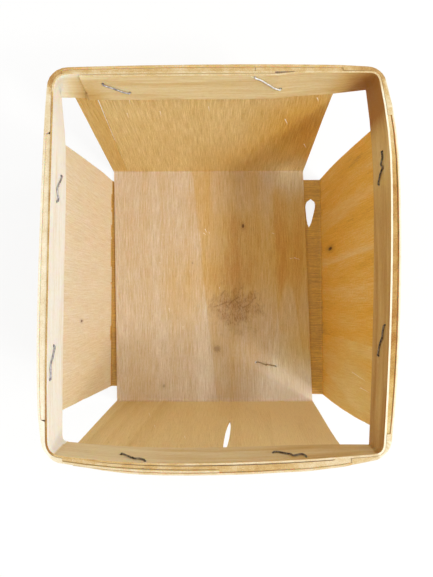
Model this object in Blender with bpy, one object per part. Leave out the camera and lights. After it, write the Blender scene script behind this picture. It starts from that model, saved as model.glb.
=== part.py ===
# Berry basket of peeled wood veneer
# Two crossed straps are folded up at scored creases: they make the double floor and the four walls.
# An inner and an outer rim band clamp the wall tops, and wire staples are clinched through the layers.
# Lengths are in metres. +X is east, +Y is north, +Z is up.
# The origin is the middle of the floor's underside, and the basket stands on it.

import bpy
import bmesh
from math import cos, pi, sin, sqrt
from mathutils import Matrix, Vector

# Stock and the clearance left between neighbouring pieces
wall_veneer = 0.0008
band_veneer = 0.0008
wire_diameter = 0.00075
clearance = 0.0003

# Floor, from crease to crease over the outer faces of the walls
floor_length_ns = 0.1403
floor_length_ew = 0.1288
crease_bend = 0.0014

# Rim
rim_height = 0.089
band_height = 0.0155

# How far each wall's top edge lies below the rim, at both ends of the wall
drop_north_west = 0.0012
drop_north_east = 0.0014
drop_east_north = 0.0030
drop_east_south = 0.0026
drop_south_east = 0.0008
drop_south_west = 0.0030
drop_west_south = 0.0012
drop_west_north = 0.0014

# How far each wall's outer face stands out from its crease at rim height, at both ends of the wall
flare_north_west = 0.0167
flare_north_east = 0.0163
flare_east_north = 0.0064
flare_east_south = 0.0057
flare_south_east = 0.0051
flare_south_west = 0.0052
flare_west_south = 0.0058
flare_west_north = 0.0054

# Outward bow of each side of the rim, and where along the side it peaks
bow_north = 0.0005
bow_east = 0.0053
bow_south = 0.0047
bow_west = 0.0012
bow_north_peak_share = 0.48
bow_east_peak_share = 0.29
bow_south_peak_share = 0.61
bow_west_peak_share = 0.31

# Near the rim's corners no wall holds the bands to its slope, so they stand more upright there.
# How far their lower edge is pushed out at both ends of each side, and the length over which that fades
toe_north_west = 0.0002
toe_north_east = 0.0034
toe_east_north = 0.0010
toe_east_south = 0.0002
toe_south_east = 0.0020
toe_south_west = 0.0002
toe_west_south = 0.0004
toe_west_north = 0.0034
toe_reach = 0.0450

# Length of side taken up by each rounded rim corner: inner band, outer band, and both at their lower edge
inner_corner_north_west = 0.0086
inner_corner_north_east = 0.0050
inner_corner_south_east = 0.0052
inner_corner_south_west = 0.0066
outer_corner_north_west = 0.0078
outer_corner_north_east = 0.0060
outer_corner_south_east = 0.0062
outer_corner_south_west = 0.0066
foot_corner_north_west = 0.0010
foot_corner_north_east = 0.0024
foot_corner_south_east = 0.0010
foot_corner_south_west = 0.0045

# How much of the wall's thickness the outer band closes up round each corner
pinch_north_west_share = 0.3
pinch_north_east_share = 0.5
pinch_south_east_share = 0.8
pinch_south_west_share = 1.0

# How far the outer band springs off each wall between its corners, and where along the side it peaks
outer_spring_north = 0.0006
outer_spring_east = 0.0010
outer_spring_south = 0.0003
outer_spring_west = 0.0012
outer_spring_north_peak_share = 0.62
outer_spring_east_peak_share = 0.66
outer_spring_south_peak_share = 0.25
outer_spring_west_peak_share = 0.30

# How far the inner band springs off each wall, most in the middle of the side
inner_spring_north = 0.0002
inner_spring_east = 0.0003
inner_spring_south = 0.0005
inner_spring_west = 0.0002

# Strap from north to south: the floor's upper layer. Widths and sideways places of its middle line
north_top_width = 0.1195
north_crease_width = 0.1162
south_crease_width = 0.1172
south_top_width = 0.1176
north_top_shift = -0.0050
north_crease_shift = -0.0048
south_crease_shift = -0.0014
south_top_shift = -0.0035

# Strap from east to west: the floor's lower layer. Widths and sideways places of its middle line
east_top_width = 0.1319
east_crease_width = 0.1306
west_crease_width = 0.1252
west_top_width = 0.1186
east_top_shift = 0.0003
east_crease_shift = -0.0008
west_crease_shift = 0.0016
west_top_shift = -0.0005

# Swell of the walls' side edges at half height, outward from a straight cut
swell_west_wall_north = 0.0022
swell_east_wall_north = 0.0015
swell_east_wall_south = 0.0016
swell_north_wall_east = 0.0002

# Laps, where a band's two ends run over each other
inner_lap_from_corner = 0.0134
inner_lap_length = 0.0823
inner_lap_run_on = 0.0015
inner_lap_ease = 0.0090
outer_lap_from_corner = 0.0125
outer_lap_length = 0.0596
outer_lap_run_on = 0.0360
outer_lap_ease = 0.0280

# Knot hole in the lower floor layer, split in the south wall and crack in the north wall
knot_hole_width = 0.0060
knot_hole_length = 0.0176
knot_hole_from_east = 0.0067
knot_hole_from_north = 0.01745
knot_hole_lean = 0.0014
knot_hole_round_share = 0.27
knot_hole_taper_share = 0.60
split_width = 0.0024
split_length = 0.0415
split_from_corner = 0.0647
split_drop = 0.0327
split_lean = 0.0036
split_blunt_share = 0.60
crack_width = 0.0004
crack_height = 0.0790
crack_from_corner = 0.0155

# Staples: clinched tips, bends and the waviness left by hand clinching
staple_bend = 0.0009
staple_tip_gap = 0.0009
staple_wave = 0.00035
staple_stagger = 0.0004

# Rim staples: for each of the two legs, its place along the side from the side's first corner and its
# drop below the rim. Sides run clockwise seen from above: north from the west, east from the north,
# south from the east and west from the south.
north_staple_1 = (0.0214, 0.0052, 0.0321, 0.0111)
north_staple_2 = (0.0874, 0.0018, 0.0991, 0.0094)
east_staple_1 = (0.0334, 0.0063, 0.0468, 0.0106)
east_staple_2 = (0.1083, 0.0043, 0.1216, 0.0092)
south_staple_1 = (0.0324, 0.0026, 0.0454, 0.0083)
south_staple_2 = (0.0990, 0.0021, 0.1100, 0.0072)
west_staple_1 = (0.0312, 0.0030, 0.0451, 0.0064)
west_staple_2 = (0.1072, 0.0064, 0.1197, 0.0102)

# Floor staple: places of its two legs from the floor's middle
floor_staple_west = (0.0237, -0.0469)
floor_staple_east = (0.0354, -0.0491)

# Facet counts
side_steps = 12
corner_steps = 6
strap_columns = 14
wall_rows = 5
crease_steps = 4
wire_sides_resolution = 2
bend_steps = 4
tip_steps = 5
hole_sides = 10
outline_steps = 10

# Worked out from the sizes above
half_ns = floor_length_ns / 2
half_ew = floor_length_ew / 2
wire_radius = wire_diameter / 2
hole_radius = wire_radius + clearance
lower_floor = wall_veneer / 2
upper_floor = wall_veneer + clearance + wall_veneer / 2
inner_band_middle = -(wall_veneer + clearance + band_veneer / 2)
outer_band_middle = clearance + band_veneer / 2
lap_step = band_veneer + clearance
band_rise = 1 - band_height / rim_height
stack_inside = wall_veneer + clearance + band_veneer
stack_outside = clearance + band_veneer
cutter_overrun = 2 * (stack_inside + lap_step)

side_names = ("north", "east", "south", "west")
sides = {
    "north": {
        "out": Vector((0, 1, 0)), "along": Vector((1, 0, 0)), "half": half_ns,
        "flares": (flare_north_west, flare_north_east), "toes": (toe_north_west, toe_north_east),
        "starts": (half_ew, flare_west_north, toe_west_north),
        "ends": (half_ew, flare_east_north, toe_east_north),
        "bow": bow_north, "peak_share": bow_north_peak_share,
        "inner_corner": inner_corner_north_east, "outer_corner": outer_corner_north_east,
        "foot_corner": foot_corner_north_east, "pinch_share": pinch_north_east_share,
        "outer_spring": outer_spring_north, "outer_spring_peak_share": outer_spring_north_peak_share,
        "inner_spring": inner_spring_north,
        "drops": (drop_north_west, drop_north_east),
        "top": (north_top_width, north_top_shift), "crease": (north_crease_width, north_crease_shift),
        "swell": (0, swell_north_wall_east),
    },
    "east": {
        "out": Vector((1, 0, 0)), "along": Vector((0, -1, 0)), "half": half_ew,
        "flares": (flare_east_north, flare_east_south), "toes": (toe_east_north, toe_east_south),
        "starts": (half_ns, flare_north_east, toe_north_east),
        "ends": (half_ns, flare_south_east, toe_south_east),
        "bow": bow_east, "peak_share": bow_east_peak_share,
        "inner_corner": inner_corner_south_east, "outer_corner": outer_corner_south_east,
        "foot_corner": foot_corner_south_east, "pinch_share": pinch_south_east_share,
        "outer_spring": outer_spring_east, "outer_spring_peak_share": outer_spring_east_peak_share,
        "inner_spring": inner_spring_east,
        "drops": (drop_east_north, drop_east_south),
        "top": (east_top_width, -east_top_shift), "crease": (east_crease_width, -east_crease_shift),
        "swell": (swell_east_wall_north, swell_east_wall_south),
    },
    "south": {
        "out": Vector((0, -1, 0)), "along": Vector((-1, 0, 0)), "half": half_ns,
        "flares": (flare_south_east, flare_south_west), "toes": (toe_south_east, toe_south_west),
        "starts": (half_ew, flare_east_south, toe_east_south),
        "ends": (half_ew, flare_west_south, toe_west_south),
        "bow": bow_south, "peak_share": bow_south_peak_share,
        "inner_corner": inner_corner_south_west, "outer_corner": outer_corner_south_west,
        "foot_corner": foot_corner_south_west, "pinch_share": pinch_south_west_share,
        "outer_spring": outer_spring_south, "outer_spring_peak_share": outer_spring_south_peak_share,
        "inner_spring": inner_spring_south,
        "drops": (drop_south_east, drop_south_west),
        "top": (south_top_width, -south_top_shift), "crease": (south_crease_width, -south_crease_shift),
        "swell": (0, 0),
    },
    "west": {
        "out": Vector((-1, 0, 0)), "along": Vector((0, 1, 0)), "half": half_ew,
        "flares": (flare_west_south, flare_west_north), "toes": (toe_west_south, toe_west_north),
        "starts": (half_ns, flare_south_west, toe_south_west),
        "ends": (half_ns, flare_north_west, toe_north_west),
        "bow": bow_west, "peak_share": bow_west_peak_share,
        "inner_corner": inner_corner_north_west, "outer_corner": outer_corner_north_west,
        "foot_corner": foot_corner_north_west, "pinch_share": pinch_north_west_share,
        "outer_spring": outer_spring_west, "outer_spring_peak_share": outer_spring_west_peak_share,
        "inner_spring": inner_spring_west,
        "drops": (drop_west_south, drop_west_north),
        "top": (west_top_width, west_top_shift), "crease": (west_crease_width, west_crease_shift),
        "swell": (0, swell_west_wall_north),
    },
}


# Small helpers
def mix(a, b, share):
    return a + (b - a) * share


def smooth(share):
    share = min(max(share, 0), 1)
    return share * share * (3 - 2 * share)


def height_share(drop):
    # 1 at the rim's top edge and 0 at the floor's underside
    return 1 - drop / rim_height


def hump(share, peak):
    # 1 at the peak, 0 at both ends, and a parabola on each side of the peak
    reach = peak if share < peak else 1 - peak
    return 1 - ((share - peak) / reach) ** 2


def toe_rise(rise):
    # bend of a wall clamped at its crease and pulled in at the rim: 1 at the bands' lower edge
    return rise ** 2 * (1 - rise) / (band_rise ** 2 * (1 - band_rise))


# Outer face of the walls. The bands follow the same surface, so all layers stay parallel.
def side_span(name, drop):
    side = sides[name]
    rise = height_share(drop)
    spans = []
    for half, flare, toe in (side["starts"], side["ends"]):
        spans.append(half + flare * rise + toe * toe_rise(rise))
    return -spans[0], spans[1]


def side_point(name, place, drop, offset=0):
    # place runs along the side from the middle of the floor, offset is outward from the wall's outer face
    side = sides[name]
    rise = height_share(drop)
    start, end = side_span(name, drop)
    share = (place - start) / (end - start)
    bow = side["bow"] * hump(share, side["peak_share"])
    flare = mix(side["flares"][0], side["flares"][1], share)
    out = side["half"] + rise * (flare + bow) + offset
    for toe, away in zip(side["toes"], (place - start, end - place)):
        out += toe * toe_rise(rise) * max(0, 1 - away / toe_reach) ** 2
    point = side["out"] * out + side["along"] * place
    point.z = rim_height - drop
    return point


def wall_edges(name, drop):
    # first and last place of the wall's two side edges at this drop
    side = sides[name]
    rise = height_share(drop)
    width = mix(side["crease"][0], side["top"][0], rise)
    shift = mix(side["crease"][1], side["top"][1], rise)
    belly = 4 * rise * (1 - rise)
    first = shift - width / 2 - side["swell"][0] * belly
    last = shift + width / 2 + side["swell"][1] * belly
    return first, last


# Straps: one sheet each, a grid of rows from one wall's top over the floor to the other wall's top
def wall_row(name, foot_drop, share, flip):
    # share is 0 along the wall's top edge and 1 at the given drop
    row = []
    for column in range(strap_columns + 1):
        across = column / strap_columns
        drop = mix(mix(*sides[name]["drops"], across), foot_drop, share)
        place = mix(*wall_edges(name, drop), across)
        row.append(side_point(name, place, drop, -wall_veneer / 2))
    if flip:
        row.reverse()
    return row


def strap_half(name, floor_level, flip):
    # rows from the wall's top down to where the floor starts, with a small round bend at the crease
    fold_drop = rim_height - floor_level
    foot_drop = fold_drop - crease_bend
    rows = []
    for step in range(wall_rows + 1):
        rows.append(wall_row(name, foot_drop, step / wall_rows, flip))
    foot = rows[-1]
    fold = wall_row(name, fold_drop, 1, flip)
    inward = sides[name]["out"] * -crease_bend
    for step in range(1, crease_steps + 1):
        share = step / crease_steps
        row = []
        for low, corner in zip(foot, fold):
            landing = corner + inward
            row.append(mix(mix(low, corner, share), mix(corner, landing, share), share))
        rows.append(row)
    return rows


def sheet_object(name, rows, thickness, colour):
    mesh = bpy.data.meshes.new(name)
    bm = bmesh.new()
    grid = [[bm.verts.new(point) for point in row] for row in rows]
    for upper, lower in zip(grid, grid[1:]):
        for index in range(len(upper) - 1):
            bm.faces.new((upper[index], lower[index], lower[index + 1], upper[index + 1]))
    bm.to_mesh(mesh)
    bm.free()
    piece = bpy.data.objects.new(name, mesh)
    bpy.context.collection.objects.link(piece)
    solid = piece.modifiers.new("veneer", "SOLIDIFY")
    solid.thickness = thickness
    solid.offset = 0
    solid.use_even_offset = True
    solid.use_quality_normals = True
    finish(piece, colour)
    return piece


def strap(name, first_side, second_side, floor_level, colour):
    rows = strap_half(first_side, floor_level, False)
    rows += reversed(strap_half(second_side, floor_level, True))
    return sheet_object(name, rows, wall_veneer, colour)


# Bands: stations run clockwise round the rim, more than one full turn where the ends lap
def next_side(name):
    return side_names[(side_names.index(name) + 1) % len(side_names)]


def previous_side(name):
    return side_names[side_names.index(name) - 1]


def corner_point(kind, name, share, drop):
    # rounded corner between the end of this side and the start of the next one
    following = next_side(name)
    cut = mix(sides[name][kind], sides[name]["foot_corner"], drop / band_height)
    end = side_span(name, drop)[1]
    start = side_span(following, drop)[0]
    leaving = side_point(name, end - cut, drop)
    arriving = side_point(following, start + cut, drop)
    corner = side_point(name, end, drop)
    return mix(mix(leaving, corner, share), mix(corner, arriving, share), share)


def pinch_at(name, place):
    # 0 along the wall, rising to the corner's own share at the corner
    before = sides[previous_side(name)]["pinch_share"]
    after = sides[name]["pinch_share"]
    edges = [wall_edges(name, drop) for drop in (0, band_height)]
    first = min(edge[0] for edge in edges) - clearance
    last = max(edge[1] for edge in edges) + clearance
    start, end = side_span(name, 0)
    if place < first:
        return before * smooth((first - place) / (first - start))
    if place > last:
        return after * smooth((place - last) / (end - last))
    return 0


def side_stations(name, places, extra):
    # stations at the places given, the nearest of them moved to each extra place
    places = list(places)
    for place in extra:
        nearest = min(range(1, len(places) - 1), key=lambda step: abs(places[step] - place))
        places[nearest] = place
    return [("side", name, place) for place in sorted(places)]


def even_places(first, last, name):
    count = max(2, round(side_steps * (last - first) / (sides[name]["half"] * 2)))
    return [mix(first, last, step / count) for step in range(count + 1)]


def corner_stations(kind, name):
    return [(kind, name, step / corner_steps) for step in range(corner_steps + 1)]


def corner_start(kind, name):
    return side_span(name, 0)[1] - sides[name][kind]


def corner_end(kind, name):
    return side_span(name, 0)[0] + sides[previous_side(name)][kind]


def loop_stations(kind, name, start_place, end_place, extra_first, extra_last):
    # from a place on one side, all the way round, to a place on the same side
    places = even_places(start_place, corner_start(kind, name), name)
    stations = side_stations(name, places[:-1], extra_first)
    stations += corner_stations(kind, name)
    current = next_side(name)
    while current != name:
        places = even_places(corner_end(kind, current), corner_start(kind, current), current)
        stations += side_stations(current, places[1:-1], ())
        stations += corner_stations(kind, current)
        current = next_side(current)
    places = even_places(corner_end(kind, name), end_place, name)
    return stations, side_stations(name, places[1:], extra_last)


def station_point(station, drop):
    kind, name, value = station
    if kind != "side":
        return corner_point(kind, name, value, drop)
    top_start, top_end = side_span(name, 0)
    start, end = side_span(name, drop)
    share = (value - top_start) / (top_end - top_start)
    return side_point(name, mix(start, end, share), drop)


def offset_line(points, offsets):
    # clockwise travel keeps the outside on the left
    moved = []
    last = len(points) - 1
    for index, point in enumerate(points):
        run = Vector((0, 0, 0))
        if index < last:
            run += (points[index + 1] - point).normalized()
        if index > 0:
            run += (point - points[index - 1]).normalized()
        outward = Vector((-run.y, run.x, 0)).normalized()
        moved.append(point + outward * offsets[index])
    return moved


def band(name, stations, offsets, colour):
    rows = []
    for drop in (0, band_height):
        rows.append(offset_line([station_point(station, drop) for station in stations], offsets))
    return sheet_object(name, rows, band_veneer, colour)


# Inner band: it starts as the innermost layer near the north-west corner and, after its turn round the
# rim, ends behind its own start on the north side
def inner_free(name, place):
    # middle of a single layer: it springs off the wall, most in the middle of the side
    start, end = side_span(name, 0)
    return inner_band_middle - sides[name]["inner_spring"] * hump((place - start) / (end - start), 1 / 2)


def inner_lap():
    start = side_span("north", 0)[0] + inner_lap_from_corner
    return start, start + inner_lap_length


def innermost(name, place):
    # the lap's inner layer eases back to the wall past the band's hidden end
    lifted = 0
    if name == "north" and place >= inner_lap()[0]:
        lifted = 1 - smooth((place - inner_lap()[1] - inner_lap_run_on) / inner_lap_ease)
    return inner_free(name, place) - lap_step * lifted


def inner_band():
    start, end = inner_lap()
    ease_from = end + inner_lap_run_on
    extra = (ease_from, ease_from + inner_lap_ease)
    stations, lap = loop_stations("inner_corner", "north", start, end, extra, ())
    offsets = []
    for kind, name, value in stations:
        offsets.append(innermost(name, value) if kind == "side" else inner_band_middle)
    offsets += [inner_free(name, value) for _, name, value in lap]
    return band("inner_band", stations + lap, offsets, veneer_pale)


# Outer band: it starts against the south wall and, after its turn round the rim, stands off that wall
# for a stretch, runs over its own start and ends as the outermost layer
def outer_free(name, place):
    # middle of a single layer: closed up by the pinch towards the corners, sprung off the wall between
    side = sides[name]
    start, end = side_span(name, 0)
    sprung = side["outer_spring"] * hump((place - start) / (end - start), side["outer_spring_peak_share"])
    return outer_band_middle - (wall_veneer + clearance) * pinch_at(name, place) + sprung


def outer_lap():
    end = side_span("south", 0)[1] - outer_lap_from_corner
    return end - outer_lap_length, end


def outermost(name, place):
    lifted = 0
    if name == "south" and place <= outer_lap()[1]:
        lifted = 1 - smooth((outer_lap()[0] - outer_lap_run_on - place) / outer_lap_ease)
    return outer_free(name, place) + lap_step * lifted


def outer_corner_offset(kind, name, share):
    near = outer_free(name, corner_start(kind, name))
    if share > 1 / 2:
        near = outer_free(next_side(name), corner_end(kind, next_side(name)))
    middle = outer_band_middle - (wall_veneer + clearance) * sides[name]["pinch_share"]
    return mix(middle, near, abs(2 * share - 1))


def outer_band():
    start, end = outer_lap()
    ease_to = start - outer_lap_run_on
    extra = (ease_to - outer_lap_ease, ease_to)
    stations, lap = loop_stations("outer_corner", "south", start, end, (), extra)
    offsets = []
    for kind, name, value in stations:
        offsets.append(outer_free(name, value) if kind == "side" else outer_corner_offset(kind, name, value))
    offsets += [outermost(name, value) for _, name, value in lap]
    return band("outer_band", stations + lap, offsets, veneer_gold)


# Staples: a frame on the wall's outer face carries the crown, the two legs and the clinched tips
def rim_frame(name, first_place, first_drop, last_place, last_drop):
    # middle between the legs, directions along the crown and outward, distance between the legs, and
    # the levels of the crown over the outermost layer and of the tips on the innermost
    start = side_span(name, 0)[0]
    places = (start + first_place, start + last_place)
    legs = [side_point(name, place, drop) for place, drop in zip(places, (first_drop, last_drop))]
    across = (legs[1] - legs[0]).normalized()
    middle_place = (places[0] + places[1]) / 2
    up = side_point(name, middle_place, 0) - side_point(name, middle_place, band_height)
    outward = across.cross(up).normalized()
    if outward.dot(sides[name]["out"]) < 0:
        outward.negate()
    seat = band_veneer / 2 + clearance + wire_radius
    crown_level = max(outermost(name, place) for place in (*places, middle_place)) + seat
    clinch_level = min(innermost(name, place) for place in (*places, middle_place)) - seat
    return (legs[0] + legs[1]) / 2, across, outward, (legs[1] - legs[0]).length, crown_level, clinch_level


def frame_matrix(middle, across, outward):
    sideways = outward.cross(across)
    matrix = Matrix((across, sideways, outward)).transposed().to_4x4()
    matrix.translation = middle
    return matrix


def staple_path(span, crown_level, clinch_level):
    # in the staple's frame: X along the crown, Z outward through the layers
    half = span / 2
    points = []
    tip = staple_tip_gap / 2
    for step in range(tip_steps + 1):
        share = step / tip_steps
        x = mix(-tip, -half + staple_bend, share)
        y = (staple_stagger / 2) * (1 - share) + staple_wave * sin(2 * pi * share)
        points.append(Vector((x, y, clinch_level)))
    for step in range(1, bend_steps + 1):
        angle = pi / 2 * step / bend_steps
        x = -half + staple_bend * (1 - sin(angle))
        z = clinch_level + staple_bend * (1 - cos(angle))
        points.append(Vector((x, 0, z)))
    for step in range(bend_steps + 1):
        angle = pi / 2 * step / bend_steps
        x = -half + staple_bend * (1 - cos(angle))
        z = crown_level - staple_bend * (1 - sin(angle))
        points.append(Vector((x, 0, z)))
    mirrored = [Vector((-point.x, -point.y, point.z)) for point in reversed(points)]
    return points + mirrored


def staple(name, matrix, span, crown_level, clinch_level):
    curve = bpy.data.curves.new(name, "CURVE")
    curve.dimensions = "3D"
    curve.bevel_depth = wire_radius
    curve.bevel_resolution = wire_sides_resolution
    curve.use_fill_caps = True
    curve.render_resolution_u = 0
    path = staple_path(span, crown_level, clinch_level)
    spline = curve.splines.new("POLY")
    spline.points.add(len(path) - 1)
    for point, place in zip(spline.points, path):
        world = matrix @ place
        point.co = (world.x, world.y, world.z, 1)
    piece = bpy.data.objects.new(name, curve)
    bpy.context.collection.objects.link(piece)
    finish(piece, wire_grey)
    return piece


def leg_hole(bm, matrix, x, low, high):
    # round cutter along one leg, from below the lowest layer to above the highest
    depth = high - low
    place = Matrix.Translation((x, 0, (low + high) / 2))
    bmesh.ops.create_cone(bm, cap_ends=True, segments=hole_sides, radius1=hole_radius,
                          radius2=hole_radius, depth=depth, matrix=matrix @ place)


def rim_staples(holes):
    plans = (
        ("staple_north_1", "north", north_staple_1),
        ("staple_north_2", "north", north_staple_2),
        ("staple_east_1", "east", east_staple_1),
        ("staple_east_2", "east", east_staple_2),
        ("staple_south_1", "south", south_staple_1),
        ("staple_south_2", "south", south_staple_2),
        ("staple_west_1", "west", west_staple_1),
        ("staple_west_2", "west", west_staple_2),
    )
    for name, side, places in plans:
        middle, across, outward, span, crown_level, clinch_level = rim_frame(side, *places)
        matrix = frame_matrix(middle, across, outward)
        staple(name, matrix, span, crown_level, clinch_level)
        for x in (-span / 2, span / 2):
            leg_hole(holes, matrix, x, clinch_level - cutter_overrun, crown_level + cutter_overrun)


def floor_staple(holes):
    # the crown is pressed into a slot in the lower layer, so the floor still stands flat
    west = Vector((floor_staple_west[0], floor_staple_west[1], 0))
    east = Vector((floor_staple_east[0], floor_staple_east[1], 0))
    span = (east - west).length
    matrix = frame_matrix((west + east) / 2, (east - west).normalized(), Vector((0, 0, -1)))
    crown_level = -lower_floor
    clinch_level = -(upper_floor + wall_veneer / 2 + clearance + wire_radius)
    staple("staple_floor", matrix, span, crown_level, clinch_level)
    for x in (-span / 2, span / 2):
        leg_hole(holes, matrix, x, clinch_level - cutter_overrun, cutter_overrun)
    return matrix, span


# Cutters
def cutter_object(name, bm):
    mesh = bpy.data.meshes.new(name)
    bmesh.ops.recalc_face_normals(bm, faces=bm.faces)
    bm.to_mesh(mesh)
    bm.free()
    cutter = bpy.data.objects.new(name, mesh)
    bpy.context.collection.objects.link(cutter)
    cutter.hide_render = True
    cutter.display_type = "WIRE"
    return cutter


def prism(bm, outline, thickness, matrix):
    # closed prism over an outline in the matrix's XY plane, centred on that plane
    low = [bm.verts.new(matrix @ Vector((x, y, -thickness / 2))) for x, y in outline]
    high = [bm.verts.new(matrix @ Vector((x, y, thickness / 2))) for x, y in outline]
    bm.faces.new(low)
    bm.faces.new(list(reversed(high)))
    for index in range(len(outline)):
        following = (index + 1) % len(outline)
        bm.faces.new((low[index], high[index], high[following], low[following]))


def crown_slot(matrix, span):
    # slot with round ends that takes the floor staple's crown
    bm = bmesh.new()
    outline = []
    for end in (1, -1):
        for step in range(outline_steps + 1):
            angle = pi * step / outline_steps - pi / 2
            x = end * (span / 2 + hole_radius * cos(angle))
            outline.append((x, end * hole_radius * sin(angle)))
    prism(bm, outline, wall_veneer + clearance, matrix @ Matrix.Translation((0, 0, -lower_floor)))
    return cutter_object("cut_crown_slot", bm)


def knot_hole():
    # teardrop: round at its north end, drawn in to a narrow tip that leans west at its south end
    bm = bmesh.new()
    middle_x = half_ew - knot_hole_from_east
    north_y = half_ns - knot_hole_from_north
    east_edge = []
    west_edge = []
    for step in range(outline_steps + 1):
        share = step / outline_steps
        if share < knot_hole_round_share:
            half = sqrt(1 - (1 - share / knot_hole_round_share) ** 2)
        else:
            half = ((1 - share) / (1 - knot_hole_round_share)) ** knot_hole_taper_share
        x = middle_x + knot_hole_lean * (knot_hole_round_share - share)
        y = north_y - share * knot_hole_length
        east_edge.append((x + half * knot_hole_width / 2, y))
        west_edge.append((x - half * knot_hole_width / 2, y))
    prism(bm, east_edge + west_edge[-2:0:-1], cutter_overrun, Matrix.Translation((0, 0, lower_floor)))
    return cutter_object("cut_knot_hole", bm)


def wall_matrix(name, place):
    # X along the side, Y up the wall from the rim's top edge, Z outward
    top = side_point(name, place, 0)
    up = (top - side_point(name, place, rim_height / 2)).normalized()
    along = sides[name]["along"]
    outward = along.cross(up).normalized()
    matrix = Matrix((along, up, outward)).transposed().to_4x4()
    matrix.translation = top
    return matrix


def split():
    # narrow lens in the south wall, leaning west towards the rim, closed again under the bands
    bm = bmesh.new()
    matrix = wall_matrix("south", side_span("south", 0)[0] + split_from_corner)
    first_edge = []
    last_edge = []
    for step in range(outline_steps + 1):
        share = step / outline_steps
        half = split_width / 2 * sin(pi * share) ** split_blunt_share if 0 < share < 1 else 0
        x = split_lean * (share - 1 / 2)
        y = split_length * (share - 1 / 2) - split_drop
        first_edge.append((x - half, y))
        last_edge.append((x + half, y))
    prism(bm, first_edge + last_edge[-2:0:-1], cutter_overrun, matrix)
    return cutter_object("cut_split", bm)


def crack():
    # long thin wedge in the north wall, open at the wall's top edge and closed to a point below
    bm = bmesh.new()
    matrix = wall_matrix("north", side_span("north", 0)[0] + crack_from_corner)
    outline = ((-crack_width / 2, cutter_overrun), (crack_width / 2, cutter_overrun), (0, -crack_height))
    prism(bm, outline, cutter_overrun, matrix)
    return cutter_object("cut_crack", bm)


def cut(piece, cutter):
    hole = piece.modifiers.new(cutter.name, "BOOLEAN")
    hole.operation = "DIFFERENCE"
    hole.solver = "EXACT"
    hole.object = cutter


# Finishes: colour, roughness and metallic value
veneer_floor = ("veneer_floor", (0.60, 0.42, 0.23), 0.72, 0)
veneer_wall = ("veneer_wall", (0.58, 0.38, 0.15), 0.70, 0)
veneer_pale = ("veneer_pale", (0.72, 0.55, 0.34), 0.70, 0)
veneer_gold = ("veneer_gold", (0.66, 0.48, 0.24), 0.70, 0)
wire_grey = ("wire_grey", (0.42, 0.42, 0.43), 0.35, 1)


def finish(piece, look):
    name, colour, roughness, metallic = look
    material = bpy.data.materials.new(name)
    material.use_nodes = True
    shader = material.node_tree.nodes["Principled BSDF"]
    shader.inputs["Base Color"].default_value = (*colour, 1)
    shader.inputs["Roughness"].default_value = roughness
    shader.inputs["Metallic"].default_value = metallic
    piece.data.materials.append(material)


def build():
    for old in list(bpy.data.objects):
        bpy.data.objects.remove(old, do_unlink=True)
    upper = strap("strap_ns", "north", "south", upper_floor, veneer_floor)
    lower = strap("strap_ew", "east", "west", lower_floor, veneer_wall)
    inner = inner_band()
    outer = outer_band()
    holes = bmesh.new()
    rim_staples(holes)
    matrix, span = floor_staple(holes)
    legs = cutter_object("cut_staple_legs", holes)
    for piece in (upper, lower, inner, outer):
        cut(piece, legs)
    cut(lower, crown_slot(matrix, span))
    cut(lower, knot_hole())
    cut(upper, split())
    cut(upper, crack())
    basket = bpy.data.objects.new("berry_basket", None)
    bpy.context.collection.objects.link(basket)
    for piece in bpy.data.objects:
        if piece is not basket:
            piece.parent = basket


build()
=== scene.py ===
import heapq
import math

import bmesh
import bpy
import numpy as np
from mathutils import Euler, Matrix, Vector, noise
from mathutils.bvhtree import BVHTree


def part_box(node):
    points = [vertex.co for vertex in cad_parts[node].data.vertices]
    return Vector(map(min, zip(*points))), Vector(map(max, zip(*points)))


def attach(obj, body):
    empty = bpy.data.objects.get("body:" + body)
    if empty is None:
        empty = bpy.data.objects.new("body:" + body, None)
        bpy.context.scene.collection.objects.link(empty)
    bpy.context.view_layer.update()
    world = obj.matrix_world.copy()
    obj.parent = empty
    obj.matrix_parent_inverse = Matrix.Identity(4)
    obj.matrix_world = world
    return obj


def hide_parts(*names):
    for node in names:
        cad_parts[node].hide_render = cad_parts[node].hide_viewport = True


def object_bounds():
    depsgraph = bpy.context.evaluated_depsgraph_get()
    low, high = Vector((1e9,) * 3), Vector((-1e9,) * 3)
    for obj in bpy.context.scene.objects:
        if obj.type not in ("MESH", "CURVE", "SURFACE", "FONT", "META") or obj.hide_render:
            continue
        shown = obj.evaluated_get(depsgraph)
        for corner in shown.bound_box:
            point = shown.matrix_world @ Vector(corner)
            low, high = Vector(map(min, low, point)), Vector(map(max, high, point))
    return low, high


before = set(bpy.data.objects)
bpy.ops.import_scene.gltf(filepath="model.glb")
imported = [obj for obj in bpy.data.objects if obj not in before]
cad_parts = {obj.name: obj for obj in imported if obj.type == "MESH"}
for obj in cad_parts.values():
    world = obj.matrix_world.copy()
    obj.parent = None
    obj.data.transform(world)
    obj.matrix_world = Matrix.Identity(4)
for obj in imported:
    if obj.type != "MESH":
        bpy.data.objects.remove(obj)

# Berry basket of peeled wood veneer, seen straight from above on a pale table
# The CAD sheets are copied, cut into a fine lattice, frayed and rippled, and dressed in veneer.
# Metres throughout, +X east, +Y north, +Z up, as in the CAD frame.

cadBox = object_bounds()
mm = 0.001


# General helpers
def linear(hexColour):
    # sRGB hex value to a linear RGBA colour
    parts = [int(hexColour[i:i + 2], 16) / 255 for i in (1, 3, 5)]
    return [p / 12.92 if p <= 0.04045 else ((p + 0.055) / 1.055) ** 2.4 for p in parts] + [1]


def addNode(tree, kind, settings=None, links=None):
    # one shader node with its settings, by property or socket name, and its links
    node = tree.nodes.new(kind)
    for key, value in (settings or {}).items():
        if isinstance(key, str) and hasattr(node, key):
            setattr(node, key, value)
        else:
            node.inputs[key].default_value = value
    for key, source in (links or {}).items():
        tree.links.new(source, node.inputs[key])
    return node


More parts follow.
